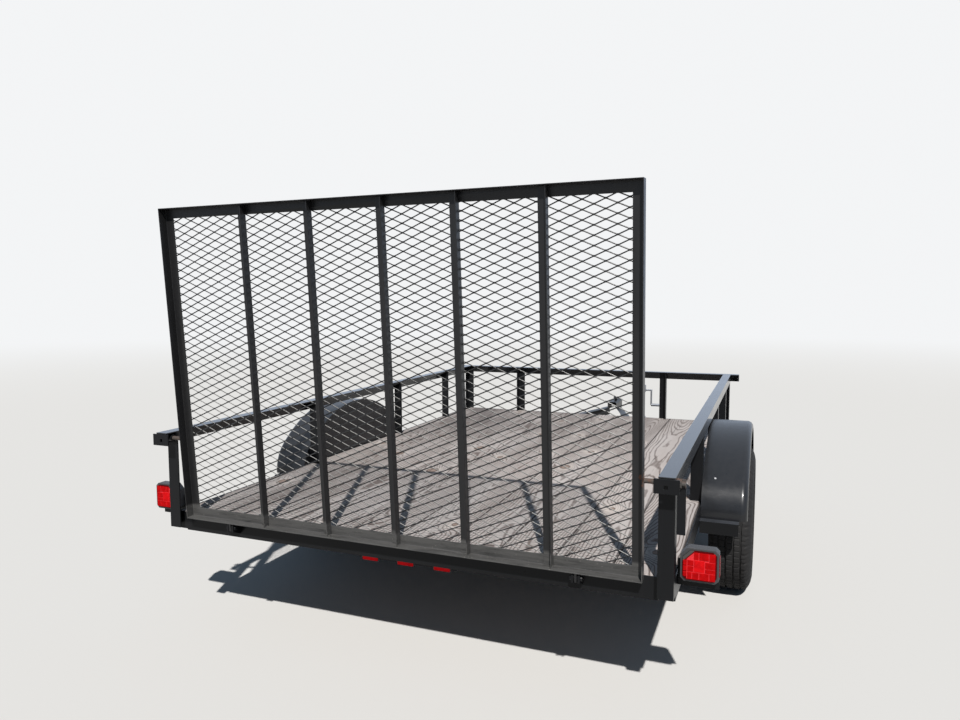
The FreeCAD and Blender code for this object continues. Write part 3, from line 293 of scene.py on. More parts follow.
def spot_group():
    """A ragged round mask about a point."""
    name = "ragged_spot"
    if name in bpy.data.node_groups:
        return bpy.data.node_groups[name]
    graph, given, made = new_group(
        name,
        (
            ("Centre", "NodeSocketVector", (0, 0, 0)),
            ("Radius", "NodeSocketFloat", 0.02),
            ("Scale", "NodeSocketFloat", 90.0),
        ),
        (("Mask", "NodeSocketFloat"),),
    )
    place = graph.place()
    values = {0: place, 1: given["Centre"]}
    gap = graph.add("ShaderNodeVectorMath", values, operation="DISTANCE").outputs["Value"]
    values = {"Vector": place, "Scale": given["Scale"], "Detail": 4.0}
    ragged = graph.add("ShaderNodeTexNoise", values).outputs[0]
    near = graph.math("DIVIDE", gap, given["Radius"])
    reach = graph.minus(graph.plus(graph.times(ragged, 1.6), 0.1), near)
    graph.feed(made["Mask"], graph.ramp(reach, 0.0, 0.25))
    return graph.tree


def start_material(name):
    """The named material if it is there, or a new one with its graph and shader."""
    name = f"trailer_{name}"
    material = bpy.data.materials.get(name)
    if material:
        return material, None, None
    material = bpy.data.materials.new(name)
    material.use_nodes = True
    graph = Graph(material.node_tree)
    return material, graph, material.node_tree.nodes["Principled BSDF"]


def set_levels(shader, levels):
    """Sets constants on a shader's sockets."""
    for socket, level in levels.items():
        shader.inputs[socket].default_value = level


def settled(graph, shader, colour, dust, amount, roughness, mottle, relief_scale, relief):
    """Places the surface group and links it to the shader; gives the group node."""
    node = graph.add("ShaderNodeGroup")
    node.node_tree = surface_group()
    values = {
        "Colour": rgba(colour),
        "Dust": rgba(dust),
        "Dust amount": amount,
        "Roughness": roughness,
        "Mottle": mottle,
        "Relief scale": relief_scale,
    }
    graph.fill(node, values)
    made = node.outputs
    bump = graph.bump(made["Height"], relief, 0.5)
    looks = {"Base Color": made["Colour"], "Roughness": made["Roughness"], "Normal": bump}
    graph.fill(shader, looks)
    return node


def finish():
    """The colours that a user may have changed."""
    return bpy.context.scene.trailer_finish


def plain_finish(name, colour, surface, levels=None, dust=None):
    """A finish that is only the settled surface.

    surface holds dust amount, roughness, mottle, relief scale and relief; levels are further constants.
    """
    material, graph, shader = start_material(name)
    if graph:
        settled(graph, shader, colour, dust or finish().dust, *surface)
        set_levels(shader, levels or {})
    return material


def ragged_spot(graph, centre, radius, scale=90.0):
    """Places the spot group and gives its mask."""
    node = graph.add("ShaderNodeGroup")
    node.node_tree = spot_group()
    for key, entry in (("Centre", centre), ("Radius", radius), ("Scale", scale)):
        node.inputs[key].default_value = entry
    return node.outputs["Mask"]


def frame_paint():
    """Satin black paint with a little dust on what faces up."""
    surface = (0.06, 0.3, 0.3, 260.0, 0.00025)
    return plain_finish("satin_black_paint", finish().paint, surface, {"Specular IOR Level": 0.16})


def rail_paint(name="rail_black_paint", shine=0.5):
    """Glossier paint, with a painted bluish sky reflection on what faces up."""
    material, graph, shader = start_material(name)
    if graph:
        place = graph.add("ShaderNodeTexCoord").outputs
        upward = graph.axes(place["Normal"])[2]
        cloud = graph.ramp(graph.noise(graph.stretch(place["Object"], (9.0, 2.0, 9.0)), 1.0, 4.0), 0.3, 0.7)
        # Painted reflection: what faces up is lightened towards a bluish grey, in clouds, standing in for the
        # sky seen in the gloss.
        painted_sky_reflection = graph.times(graph.ramp(upward, 0.5, 0.95), graph.blend(cloud, 0.16, 0.3))
        colour = graph.mix(painted_sky_reflection, rgba(finish().paint), (0.2, 0.215, 0.25, 1))
        set_levels(shader, {"Specular IOR Level": shine})
        graph.fill(shader, {"Base Color": colour, "Roughness": graph.blend(cloud, 0.12, 0.19)})
    return material


def bracket_paint():
    """The rail paint with less shine, its painted sky reflection included."""
    return rail_paint("bracket_black_paint", 0.14)


def mesh_paint():
    """Paint on the strands, with a painted glint: pale on the faces that turn up and towards +X, low down."""
    material, graph, shader = start_material("mesh_black_paint")
    if graph:
        node = settled(graph, shader, (0.011, 0.0105, 0.01), finish().dust, 0.04, 0.35, 0.3, 300.0, 0.0002)
        set_levels(shader, {"Specular IOR Level": 0.6})
        place = graph.add("ShaderNodeTexCoord").outputs
        facing = graph.axes(place["Normal"])
        height = graph.axes(place["Object"])[2]
        # Painted highlight: strand faces turned up and towards +X, where the sun glints, are paled, fading
        # out above about 0.9 to 1.3 m.
        painted_glint = graph.times(graph.ramp(facing[0], 0.1, 0.2), graph.ramp(facing[2], 0.25, 0.4))
        painted_glint = graph.times(painted_glint, graph.ramp(height, 1.3, 0.9))
        colour = graph.mix(painted_glint, node.outputs["Colour"], (0.28, 0.275, 0.262, 1))
        graph.feed(shader.inputs["Base Color"], colour)
    return material


def fender_paint():
    """The same paint over rolled sheet: smoother, with a small bare dent."""
    material, graph, shader = start_material("fender_black_paint")
    if graph:
        node = settled(graph, shader, (0.012, 0.0125, 0.0142), finish().dust, 0.03, 0.3, 0.06, 120.0, 0.00006)
        set_levels(shader, {"Specular IOR Level": 0.3, "Coat Weight": 0.2, "Coat Roughness": 0.1})
        dent = ragged_spot(graph, (1.0608, along(1037), 0.6309), 0.006, 140.0)
        bare = graph.mix(dent, node.outputs["Colour"], (0.5, 0.5, 0.52, 1))
        graph.feed(shader.inputs["Base Color"], bare)
    return material


def gate_paint():
    """Gate paint, scraped pale along the lower rail and rusty at the latch holes."""
    material, graph, shader = start_material("gate_black_paint")
    if not graph:
        return material
    node = settled(graph, shader, finish().gate_paint, finish().dust, 0.1, 0.34, 0.4, 260.0, 0.0003)
    set_levels(shader, {"Specular IOR Level": 0.28})
    place = graph.place()
    height = graph.axes(place)[2]
    above_ears = graph.ramp(height, 0.512, 0.516)
    scrapes = graph.noise(graph.stretch(place, (9.0, 60.0, 110.0)), 1.0, 5.0, 0.75)
    lower = graph.times(graph.ramp(height, 0.576, 0.562), graph.ramp(scrapes, 0.15, 0.6))
    lower = graph.times(lower, above_ears, 0.52)
    worn = graph.mix(lower, node.outputs["Colour"], rgba(finish().scuff))
    flecks = graph.ramp(graph.noise(place, 130.0, 4.0, 0.7), 0.62, 0.7)
    flecks = graph.times(flecks, graph.ramp(height, 0.6, 0.53), above_ears)
    worn = graph.mix(graph.times(flecks, 0.55), worn, (0.34, 0.32, 0.29, 1))
    latch_hole = ragged_spot(graph, (0.914, along(38), 0.845), 0.026)
    rusty = graph.mix(graph.times(latch_hole, 0.8), worn, rgba(finish().rust))
    graph.feed(shader.inputs["Base Color"], rusty)
    return material


def wheel_paint():
    """Dustier black paint of the rims."""
    return plain_finish("rim_black_paint", finish().paint, (0.3, 0.38, 0.3, 200.0, 0.0003))


def spring_steel():
    """Dull dark steel of the leaf springs."""
    return plain_finish("spring_steel", (0.03, 0.029, 0.028), (0.4, 0.6, 0.5, 300.0, 0.0006))


def zinc_steel():
    """Plated steel with a dull crystalline mottle."""
    surface = (0.25, 0.36, 0.35, 140.0, 0.0003)
    return plain_finish("zinc_steel", finish().zinc, surface, {"Metallic": 0.9})


def pin_steel():
    """Bare pin steel going brown; what hangs below the pins is painted black."""
    material, graph, shader = start_material("pin_steel")
    if not graph:
        return material
    node = settled(graph, shader, (0.09, 0.085, 0.08), finish().rust, 0.2, 0.5, 0.5, 200.0, 0.0005)
    place = graph.place()
    brown = graph.ramp(graph.noise(place, 55.0, 5.0, 0.7), 0.45, 0.7)
    mixed = graph.mix(graph.times(brown, 0.55), node.outputs["Colour"], rgba(finish().rust))
    height = graph.axes(place)[2]
    handle = graph.times(graph.ramp(height, 0.833, 0.829), graph.ramp(height, 0.56, 0.6))
    mixed = graph.mix(handle, mixed, rgba(finish().paint))
    graph.feed(shader.inputs["Base Color"], mixed)
    set_levels(shader, {"Specular IOR Level": 0.15})
    return material


def lamp_plastic():
    """Dark grey plastic of the tail lamps' housings."""
    return plain_finish("lamp_plastic", (0.055, 0.055, 0.058), (0.2, 0.5, 0.2, 400.0, 0.0003))


def black_plastic():
    """Black plastic of the valve stems and lamp bases."""
    return plain_finish("black_plastic", (0.02, 0.02, 0.02), (0.25, 0.5, 0.2, 400.0, 0.0003))


# Turns of the lens fluting in radians a metre
FLUTES = 2300.0


def red_plastic(name, colour, glow, shine=0.03):
    """Clear red plastic with fine fluting behind its face."""
    material, graph, shader = start_material(name)
    if not graph:
        return material
    place = graph.place()
    axes = graph.axes(place)
    fine_x = graph.math("SINE", graph.times(axes[0], FLUTES))
    fine_z = graph.math("SINE", graph.times(axes[2], FLUTES))
    dots = graph.times(fine_x, fine_z)
    cloud = graph.noise(place, 60.0, 4.0)
    shade = graph.plus(graph.times(dots, 0.2), cloud)
    deep = tuple(channel * 0.62 for channel in colour)
    mixed = graph.mix(graph.ramp(shade, 0.2, 0.75), rgba(deep), rgba(colour))
    bump = graph.bump(dots, 0.0002, 0.3)
    graph.fill(shader, {"Base Color": mixed, "Normal": bump, "Emission Color": mixed})
    # The lenses glow though the lamps are off: painted light standing for the daylight their reflectors send
    # back.
    set_levels(shader, {"Emission Strength": glow, "Roughness": 0.42, "Specular IOR Level": shine})
    return material


def red_lens():
    """The ring of blocks of a tail lens."""
    return red_plastic("red_lens", finish().lens, 0.03)


def bright_lens():
    """The brighter block in the middle of a tail lens."""
    return red_plastic("red_lens_middle", (0.8, 0.009, 0.012), 0.06)


def side_red_painted_shade():
    """The lens on the side of a tail lamp, its red darkened as painted shade."""
    return red_plastic("red_lens_side_painted_shade", (0.22, 0.002, 0.008), 0.0, 0.2)


def bar_lens():
    """The lenses of the lamp bar."""
    # The bar lenses glow most, a painted light that lifts them out of the shade they stand in.
    return red_plastic("red_lens_bar", (0.7, 0.01, 0.014), 0.3)


def seamed_lens():
    """The lens behind the blocks: light seams between them and a dark rim."""
    material, graph, shader = start_material("red_lens_seams")
    if not graph:
        return material
    low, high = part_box("tail_lenses")
    half = (high.z - low.z) / 2
    place = graph.place()
    axes = graph.axes(place)
    out = graph.minus(graph.math("ABSOLUTE", axes[0]), high.x - half)
    rise = graph.minus(axes[2], (low.z + high.z) / 2)
    reach = graph.math("MAXIMUM", graph.math("ABSOLUTE", out), graph.math("ABSOLUTE", rise))
    slant = graph.minus(rise, out)
    border = graph.ramp(reach, half - 0.0042, half - 0.003)
    rim = graph.math("MAXIMUM", border, graph.ramp(slant, 0.0625, 0.0636))
    cloud = graph.noise(place, 220.0, 3.0)
    seam = graph.mix(cloud, (0.62, 0.01, 0.014, 1), (0.95, 0.07, 0.085, 1))
    colour = graph.mix(rim, seam, (0.11, 0.001, 0.002, 1))
    colour = graph.mix(graph.ramp(slant, 0.0668, 0.0678), colour, (0.085, 0.082, 0.08, 1))
    graph.fill(shader, {"Base Color": colour, "Emission Color": colour})
    # The lens glows a little as painted light, though the lamp is off.
    set_levels(shader, {"Emission Strength": 0.04, "Roughness": 0.4, "Specular IOR Level": 0.06})
    return material


def tyre_rubber():
    """Dull rubber with brown road dust."""
    surface = (0.15, 0.75, 0.3, 500.0, 0.0005)
    levels = {"Specular IOR Level": 0.14}
    return plain_finish("tyre_rubber", finish().rubber, surface, levels, dust=(0.16, 0.14, 0.12))


# Metres of board to each place that may hold a knot
KNOT_SPACING = 0.62


def board_knots(graph, across, run, pitch):
    """Knots strewn over the boards: distance to the nearest, 1 where it is there, and its radius."""
    cell = graph.vector(across, graph.math("DIVIDE", run, KNOT_SPACING), 0.0)
    values = {"Vector": cell, "Scale": 1.0, "Randomness": 0.72}
    knots = graph.add("ShaderNodeTexVoronoi", values, voronoi_dimensions="2D").outputs
    values = {0: cell, 1: knots["Position"]}
    gap = graph.add("ShaderNodeVectorMath", values, operation="SUBTRACT").outputs[0]
    gap = graph.stretch(gap, (pitch, KNOT_SPACING * 0.6, 0.0))
    near = graph.add("ShaderNodeVectorMath", {0: gap}, operation="LENGTH").outputs["Value"]
    luck = graph.add("ShaderNodeSeparateColor", {0: knots["Color"]}).outputs
    has_knot = graph.math("GREATER_THAN", luck[0], 0.45)
    return near, has_knot, graph.plus(0.009, graph.times(luck[1], 0.017))


def late_wood(graph, within, run, seed, draw, pitch, warp, bend):
    """Dark rings, arched where a flat sawn board runs out of them."""
    sway = graph.noise(graph.vector(seed, graph.times(run, 0.5), 0.0), 1.0, 3.0, 0.5)
    depth = graph.noise(graph.vector(4.7, graph.times(run, 0.72), seed), 1.0, 2.0, 0.6)
    offset = graph.times(graph.minus(draw[0], 0.5), 0.6)
    side = graph.minus(within, graph.plus(offset, graph.minus(sway, 0.5)))
    side = graph.times(side, pitch)
    swing = graph.math("SINE", graph.plus(graph.times(run, 1.3), graph.times(draw[1], 6.0)))
    below = graph.plus(graph.times(swing, 0.055), graph.times(depth, 0.09))
    squares = graph.plus(graph.math("POWER", side, 2.0), graph.math("POWER", below, 2.0))
    ring = graph.plus(graph.math("SQRT", squares), warp, bend)
    spacing = graph.plus(0.0085, graph.times(draw[2], 0.004))
    phase = graph.math("DIVIDE", graph.times(ring, 2 * math.pi), spacing)
    wave = graph.plus(graph.times(graph.math("SINE", phase), 0.5), 0.5)
    return graph.ramp(wave, 0.55, 1.0)


def deck_wood():
    """Weathered flat sawn boards: arched growth rings, knots, dry streaks, checks, and painted shade
    darkening them towards the left and the front.
    """
    material, graph, shader = start_material("weathered_pine")
    if not graph:
        return material
    low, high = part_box("deck_boards")
    pitch = (high.x - low.x) / BOARDS
    place = graph.place()
    x, y = graph.axes(place)[:2]
    across = graph.math("DIVIDE", graph.minus(x, low.x), pitch)
    number = graph.math("FLOOR", across)
    within = graph.minus(graph.minus(across, number), 0.5)
    chance = graph.add("ShaderNodeTexWhiteNoise", {"W": number}, noise_dimensions="1D").outputs["Color"]
    draw = graph.add("ShaderNodeSeparateColor", {0: chance}).outputs
    seed = graph.times(number, 7.31)
    run = graph.plus(y, seed)
    near, has_knot, knot_size = board_knots(graph, across, run, pitch)
    wander = graph.noise(graph.stretch(place, (14.0, 3.0, 1.0)), 1.0, 3.0)
    warp = graph.times(graph.minus(wander, 0.5), 0.02)
    bend = graph.times(graph.ramp(near, 0.085, 0.0), 0.045, has_knot)
    late = late_wood(graph, within, run, seed, draw, pitch, warp, bend)
    fibre = graph.noise(graph.stretch(place, (240.0, 6.0, 40.0)), 1.0, 4.0, 0.7)
    check = graph.ramp(graph.noise(graph.stretch(place, (120.0, 2.2, 20.0)), 1.0, 2.0, 0.5), 0.645, 0.72)
    grey = graph.noise(graph.stretch(place, (5.0, 1.1, 3.0)), 1.0, 4.0, 0.6)
    tone = graph.plus(graph.times(late, 0.92), graph.times(fibre, 0.7))
    tone = graph.plus(tone, graph.times(graph.minus(draw[1], 0.5), 0.34))
    tone = graph.minus(tone, 0.33, clamp=True)
    colour = graph.mix(tone, rgba(finish().wood_pale), rgba(finish().wood_dark))
    silver = graph.times(graph.ramp(grey, 0.35, 0.7), 0.3)
    stain = graph.times(graph.ramp(grey, 0.5, 0.3), 0.3)
    halo = graph.times(graph.ramp(near, 0.06, 0.016), has_knot, 0.6)
    knot = graph.minus(graph.math("DIVIDE", near, knot_size), graph.times(warp, 20.0))
    core = graph.times(graph.ramp(knot, 1.1, 0.85), has_knot, 0.7)
    rim = graph.ramp(graph.math("ABSOLUTE", graph.minus(knot, 1.0)), 0.3, 0.1)
    rim = graph.times(rim, has_knot, 0.75)
    # Painted shade: the boards darken in patches towards the left and the front.
    ahead = graph.times(graph.ramp(y, along(1300), along(3100)), 0.5)
    aside = graph.times(graph.ramp(x, 0.45, -0.95), 0.5)
    painted_shade = graph.times(graph.plus(ahead, aside), graph.ramp(grey, 0.7, 0.35))
    edge = graph.ramp(graph.math("ABSOLUTE", within), 0.462, 0.49)
    cracks = graph.math("MAXIMUM", graph.times(edge, 0.72), graph.times(check, 0.75))
    layers = (
        (silver, (0.5, 0.49, 0.49, 1)),
        (stain, (0.2, 0.165, 0.145, 1)),
        (halo, (0.78, 0.7, 0.64, 1)),
        (core, (0.24, 0.14, 0.095, 1)),
        (rim, (0.09, 0.055, 0.04, 1)),
        (graph.times(painted_shade, 0.85), (0.12, 0.105, 0.1, 1)),
        (cracks, (0.06, 0.05, 0.045, 1)),
    )
    for mask, tint in layers:
        colour = graph.mix(mask, colour, tint)
    relief = graph.minus(graph.times(late, 0.7), graph.times(fibre, 0.5))
    relief = graph.minus(relief, check)
    bump = graph.bump(relief, 0.0014, 0.6)
    graph.fill(shader, {"Base Color": colour, "Normal": bump})
    set_levels(shader, {"Roughness": 0.82, "Specular IOR Level": 0.25})
    return material


# Mesh building


def place_piece(mesh, name, body, material, smooth_angle=None):
    """Links a mesh as a piece that rides on a body."""
    piece = bpy.data.objects.new(name, mesh)
    bpy.context.scene.collection.objects.link(piece)
    mesh.materials.append(material)
    if smooth_angle is not None:
        mesh.shade_smooth()
        mesh.set_sharp_from_angle(angle=math.radians(smooth_angle))
    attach(piece, body)
    return piece


def place_shape(shape, name, body, material, smooth_angle=None):
    """Places a gathered shape as a piece of the same name."""
    return place_piece(shape.mesh(name), name, body, material, smooth_angle)


class Shape:
    """Vertices and faces gathered for one mesh."""

    def __init__(self):
        self.points = []
        self.faces = []

    def add(self, points, faces):
        start = len(self.points)
        self.points.extend(Vector(point) for point in points)
        self.faces.extend([start + index for index in face] for face in faces)

    def rings(self, rings, closed=True, capped=True):
        """Skins a list of rings of equally many points."""
        size = len(rings[0])
        points = [point for ring in rings for point in ring]
        faces = []
        last = size if closed else size - 1
        for row in range(len(rings) - 1):
            for step in range(last):
                first = row * size + step
                second = row * size + (step + 1) % size
                faces.append([first, second, second + size, first + size])
        if capped:
            faces.append(list(range(size))[::-1])
            faces.append([len(points) - size + index for index in range(size)])
        self.add(points, faces)

    def mesh(self, name):
        mesh = bpy.data.meshes.new(name)
        mesh.from_pydata(self.points, [], self.faces)
        mesh.validate()
        return mesh


def ring_about(centre, axis, radius, sides, turn=0.0):
    """Points of a regular ring round an axis."""
    axis = Vector(axis).normalized()
    across = axis.orthogonal().normalized()
    upward = axis.cross(across)
    points = []
    for step in range(sides):
        angle = 2 * math.pi * step / sides + turn
        points.append(Vector(centre) + (across * math.cos(angle) + upward * math.sin(angle)) * radius)
    return points


def add_turned(shape, centre, axis, profile, sides):
    """Adds a turned form: profile rows are distance along the axis, radius."""
    axis = Vector(axis).normalized()
    rings = [ring_about(Vector(centre) + axis * reach, axis, radius, sides) for reach, radius in profile]
    shape.rings(rings)


def add_bolt(shape, centre, axis, radius, height):
    """Hex head on a washer with a chamfered top."""
    washer = ((0, radius * 1.5), (height * 0.22, radius * 1.5), (height * 0.25, radius * 1.42))
    add_turned(shape, centre, axis, washer, 20)
    head = (
        (height * 0.2, radius * 1.12),
        (height * 0.85, radius * 1.15),
        (height, radius * 0.95),
    )
    add_turned(shape, centre, axis, head, 6)


def add_dome(shape, centre, axis, radius, height, sides=12):
    """Low round head."""
    profile = [(0, radius)]
    for step in range(1, 5):
        angle = step * math.pi / 10
        profile.append((height * math.sin(angle), radius * math.cos(angle)))
    add_turned(shape, centre, axis, profile, sides)


# Spacing of the ripples on a weld bead
RIPPLE = 0.0026


def add_weld(shape, start, end, radius, rng):
    """Bead between two points with its ripples."""
    start = Vector(start)
    end = Vector(end)
    axis = end - start
    steps = max(6, int(axis.length / RIPPLE))
    rings = []
    for step in range(steps + 1):
        share = step / steps
        swell = 0.82 + 0.22 * abs(math.sin(share * steps * 1.15)) + rng.uniform(-0.06, 0.06)
        taper = min(1.0, 3.2 * min(share, 1 - share) + 0.35)
        centre = start + axis * share
        rings.append(ring_about(centre, axis, radius * swell * taper, 7, 0.3))
    shape.rings(rings)


def add_block(shape, low, high, c):
    """Box whose upright edges and rear face are chamfered by c."""
    outline = (
        (low[0] + c, low[2]),
        (high[0] - c, low[2]),
        (high[0], low[2] + c),
        (high[0], high[2] - c),
        (high[0] - c, high[2]),
        (low[0] + c, high[2]),
        (low[0], high[2] - c),
        (low[0], low[2] + c),
    )
    mid_x = (low[0] + high[0]) / 2
    mid_z = (low[2] + high[2]) / 2
    share = 1 - 2 * c / max(high[0] - low[0], 1e-6)
    drawn_in = [(mid_x + (x - mid_x) * share, mid_z + (z - mid_z) * share) for x, z in outline]
    levels = ((high[1], outline), (low[1] + c, outline), (low[1], drawn_in))
    shape.rings([[Vector((x, y, z)) for x, z in points] for y, points in levels])


# The gate's mesh


def gate_matrix():
    """From the gate's flat frame, X across, Y up and Z to the rear, to the row frame."""
    return Matrix.Translation(GATE_FOOT) @ Matrix.Rotation(math.pi / 2 + GATE_LEAN, 4, "X")


# Half width of the mesh, and its lower and upper edge, in the gate's flat frame
MESH_HALF = 0.900
MESH_EDGES = (0.014, 1.220)
# A strand's section in half widths and half thicknesses, with a chamfer at the upper rear edge
STRAND_OUTLINE = ((0.784, 1), (-1, 1), (-1, -1), (1, -1), (1, -0.1))


def expanded_sheet(sizes):
    """Rows of waving strands that meet at their bonds, cut to the gate's rectangle."""
    half = MESH_HALF
    low, high = MESH_EDGES
    wide = sizes.strand_width
    thick = sizes.strand_thick
    step = sizes.diamond_short / 2
    tilt = sizes.strand_tilt
    # Half the length of a bond, and how far two strands draw together there
    bond = wide * 0.9
    drawn = wide * 0.36
    slope = math.atan2(step - 2 * drawn, sizes.diamond_long / 2 - 2 * bond)

    def frame_of(rising):
        """Half width and half thickness of a strand, its upper edge turned out to the rear."""
        upward = Vector((-math.sin(rising), math.cos(rising), 0))
        outward = Vector((0, 0, 1))
        across = upward * math.cos(tilt) + outward * math.sin(tilt)
        through = outward * math.cos(tilt) - upward * math.sin(tilt)
        return across * wide / 2, through * thick / 2

    frames = {1: frame_of(slope), -1: frame_of(-slope)}
    depth = wide / 2 * math.sin(tilt) + thick / 2 * math.cos(tilt)
    shape = Shape()
    rows = int((high - low) / step) + 2
    reach = int(half / (sizes.diamond_long / 2)) + 2
    for row in range(rows):
        rings = []
        for knot in range(-reach, reach + 1):
            up = 1 if (knot + row) % 2 else -1
            level = low + row * step + up * (step / 2 - drawn)
            for end in (-1, 1):
                centre = Vector((knot * sizes.diamond_long / 2 + end * bond, level, -depth - 0.0001))
                across, through = frames[up * -end]
                rings.append([centre + across * out + through * deep for out, deep in STRAND_OUTLINE])
        shape.rings(rings)
    mesh = shape.mesh("gate_mesh_strands")
    sheet = bmesh.new()
    sheet.from_mesh(mesh)
    cuts = (
        ((half, 0, 0), (1, 0, 0)),
        ((-half, 0, 0), (-1, 0, 0)),
        ((0, low, 0), (0, -1, 0)),
        ((0, high, 0), (0, 1, 0)),
    )
    for spot, normal in cuts:
        geometry = sheet.verts[:] + sheet.edges[:] + sheet.faces[:]
        bmesh.ops.bisect_plane(sheet, geom=geometry, plane_co=spot, plane_no=normal, clear_outer=True)
    sheet.to_mesh(mesh)
    sheet.free()
    mesh.transform(gate_matrix())
    return mesh


# Tyres

# Distance across at which the shoulder blocks begin
SHOULDER_FROM = 0.055
# Steps of the tread to each shoulder block, sipe and wave of the ribs
BLOCK_STEPS = 9
SIPE_STEPS = 6
WAVE_STEPS = 12
# Depths of the gaps and cuts of the blocks and of the sipes, and the swing of the ribs
BLOCK_GAP = 0.0042
BLOCK_CUT = 0.0015
SIPE_DEPTH = 0.0026
RIB_WAVE = 0.001


def tyre_outline(half, radius, groove):
    """Distance across the tyre, radius, rib number (0 for plain) and whether it lies in a groove."""
    sidewall = (
        (-0.072, 0.1905),
        (-0.0735, 0.2035),
        (-half + 0.008, 0.224),
        (-half + 0.0045, 0.2300),
        (-half + 0.0045, 0.2330),
        (-half + 0.0012, 0.2360),
        (-half, 0.262),
        (-half + 0.0004, 0.280),
        (-half + 0.002, 0.2825),
        (-half + 0.0015, 0.2850),
        (-half + 0.005, 0.303),
    )
    rows = [(across, reach, 0, False) for across, reach in sidewall]
    rows.append((-half + 0.010, 0.316, 5, False))
    rows.append((-half + 0.017, 0.329, 1, False))
    rows.append((-half + 0.025, radius - 0.0055, 1, False))
    mirrored = rows[::-1]
    shoulder = 0.064
    rows.append((-shoulder, radius - 0.0022, 1, False))
    floor = radius - 0.0015 - groove
    for number, centre in enumerate((-0.0475, -0.0165, 0.0165, 0.0475)):
        lip = radius - 0.0016 + 0.0012 * (abs(centre) < 0.03)
        rows.append((centre - 0.0048, lip, 1 + number, False))
        rows.append((centre - 0.0032, floor, 0, True))
        rows.append((centre + 0.0032, floor, 0, True))
        rows.append((centre + 0.0048, lip, 2 + number, False))
        if number < 3:
            rows.append((centre + 0.0155, radius - 0.0004, 2 + number, False))
    rows.append((shoulder, radius - 0.0022, 5, False))
    for across, reach, rib, grooved in mirrored:
        rows.append((-across, reach, 5 if rib else 0, grooved))
    return rows


def tread_fall(step, rib, outer):
    """How far a point lies below its rib: in the gaps of the shoulder blocks, or in a sipe."""
    if outer and rib in (1, 5):
        return {0: BLOCK_GAP, 1: BLOCK_GAP, 5: BLOCK_CUT}.get(step % BLOCK_STEPS, 0.0)
    return SIPE_DEPTH if rib and (step + rib * 2) % SIPE_STEPS == 0 else 0.0


def build_tyre(name, node, sizes):
    """Tyre with grooved ribs, sipes and blocky shoulders."""
    low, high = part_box(node)
    centre = (low + high) / 2
    half = (high.x - low.x) / 2
    radius = (high.z - low.z) / 2
    rows = tyre_outline(half, radius, sizes.groove_depth)
    rings = []
    for step in range(sizes.tread_steps):
        angle = 2 * math.pi * step / sizes.tread_steps
        swing = RIB_WAVE * (4 * abs(step % WAVE_STEPS / WAVE_STEPS - 0.5) - 1)
        ring = []
        for across, reach, rib, grooved in rows:
            wavy = (rib or grooved) and abs(across) < SHOULDER_FROM
            shift = swing if wavy else 0.0
            size = reach - tread_fall(step, rib, abs(across) > SHOULDER_FROM)
            y = centre.y + size * math.sin(angle)
            z = centre.z + size * math.cos(angle)
            ring.append(Vector((centre.x + across + shift, y, z)))
        rings.append(ring)
    shape = Shape()
    rings.append(rings[0])
    shape.rings(rings, closed=False, capped=False)
    mesh = shape.mesh(name)
    tidy = bmesh.new()
    tidy.from_mesh(mesh)
    bmesh.ops.remove_doubles(tidy, verts=tidy.verts[:], dist=0.00001)
    bmesh.ops.recalc_face_normals(tidy, faces=tidy.faces[:])
    tidy.to_mesh(mesh)
    tidy.free()
    return mesh


# Operators

# Finish, whether the edges are rounded, and the nodes that have it
STEEL_FINISHES = (
    (
        frame_paint,
        True,
        (
            "frame_left", "frame_right", "frame_rear", "frame_front", "floor_joists", "posts_left",
            "posts_right", "posts_front", "axle_beam", "spring_hangers", "tongue_left", "tongue_right",
            "coupler", "hinge_lugs", "latch_plates", "lamp_brackets", "lamp_bar",
        ),
    ),
    (rail_paint, True, ("top_rail_left", "top_rail_right", "top_rail_front")),
    (bracket_paint, True, ("fender_brackets",)),
    (gate_paint, True, ("gate_frame", "gate_bars", "gate_hinge_ears")),
    (fender_paint, False, ("fender_left", "fender_right")),
    (spring_steel, False, ("leaf_spring_left", "leaf_spring_right")),
    (zinc_steel, False, ("axle_u_bolts", "coupler_latch", "jack_tube", "jack_leg", "jack_crank")),
    (zinc_steel, False, ("hub_left", "hub_right")),
    (wheel_paint, False, ("rim_left", "rim_right")),
    (pin_steel, False, ("latch_pins",)),
)


def dress(node_name, material, rounding=0.0, angle=35):
    """Gives a carried-over node its material and rounds its edges."""
    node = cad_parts[node_name]
    node.data.materials.clear()
    node.data.materials.append(material)
    if rounding:
        weld = node.modifiers.new("join", "WELD")
        weld.merge_threshold = 0.00002
        bevel = node.modifiers.new("round", "BEVEL")
        bevel.width = rounding
        bevel.segments = 2
        bevel.limit_method = "ANGLE"
        bevel.angle_limit = math.radians(angle)
        bevel.use_clamp_overlap = True
        bevel.harden_normals = False


class TRAILER_OT_steelwork(Operator):
    """Paints the frame, rails, posts and running gear and rounds their edges"""

    bl_idname = "trailer.steelwork"
    bl_label = "Finish the steelwork"

    def execute(self, context):
        rounding = context.scene.trailer_sizes.edge_round
        for paint, rounded, names in STEEL_FINISHES:
            for name in names:
                dress(name, paint(), rounding if rounded else 0.0)
        return {"FINISHED"}


BOARD_ROUND = 0.0016
# Screws of a board: places as shares of its width, how far they stray, radius and height of the head
SCREW_SHARES = (0.22, 0.78)
SCREW_STRAY = 0.004
SCREW_HEAD = (0.0048, 0.0011)


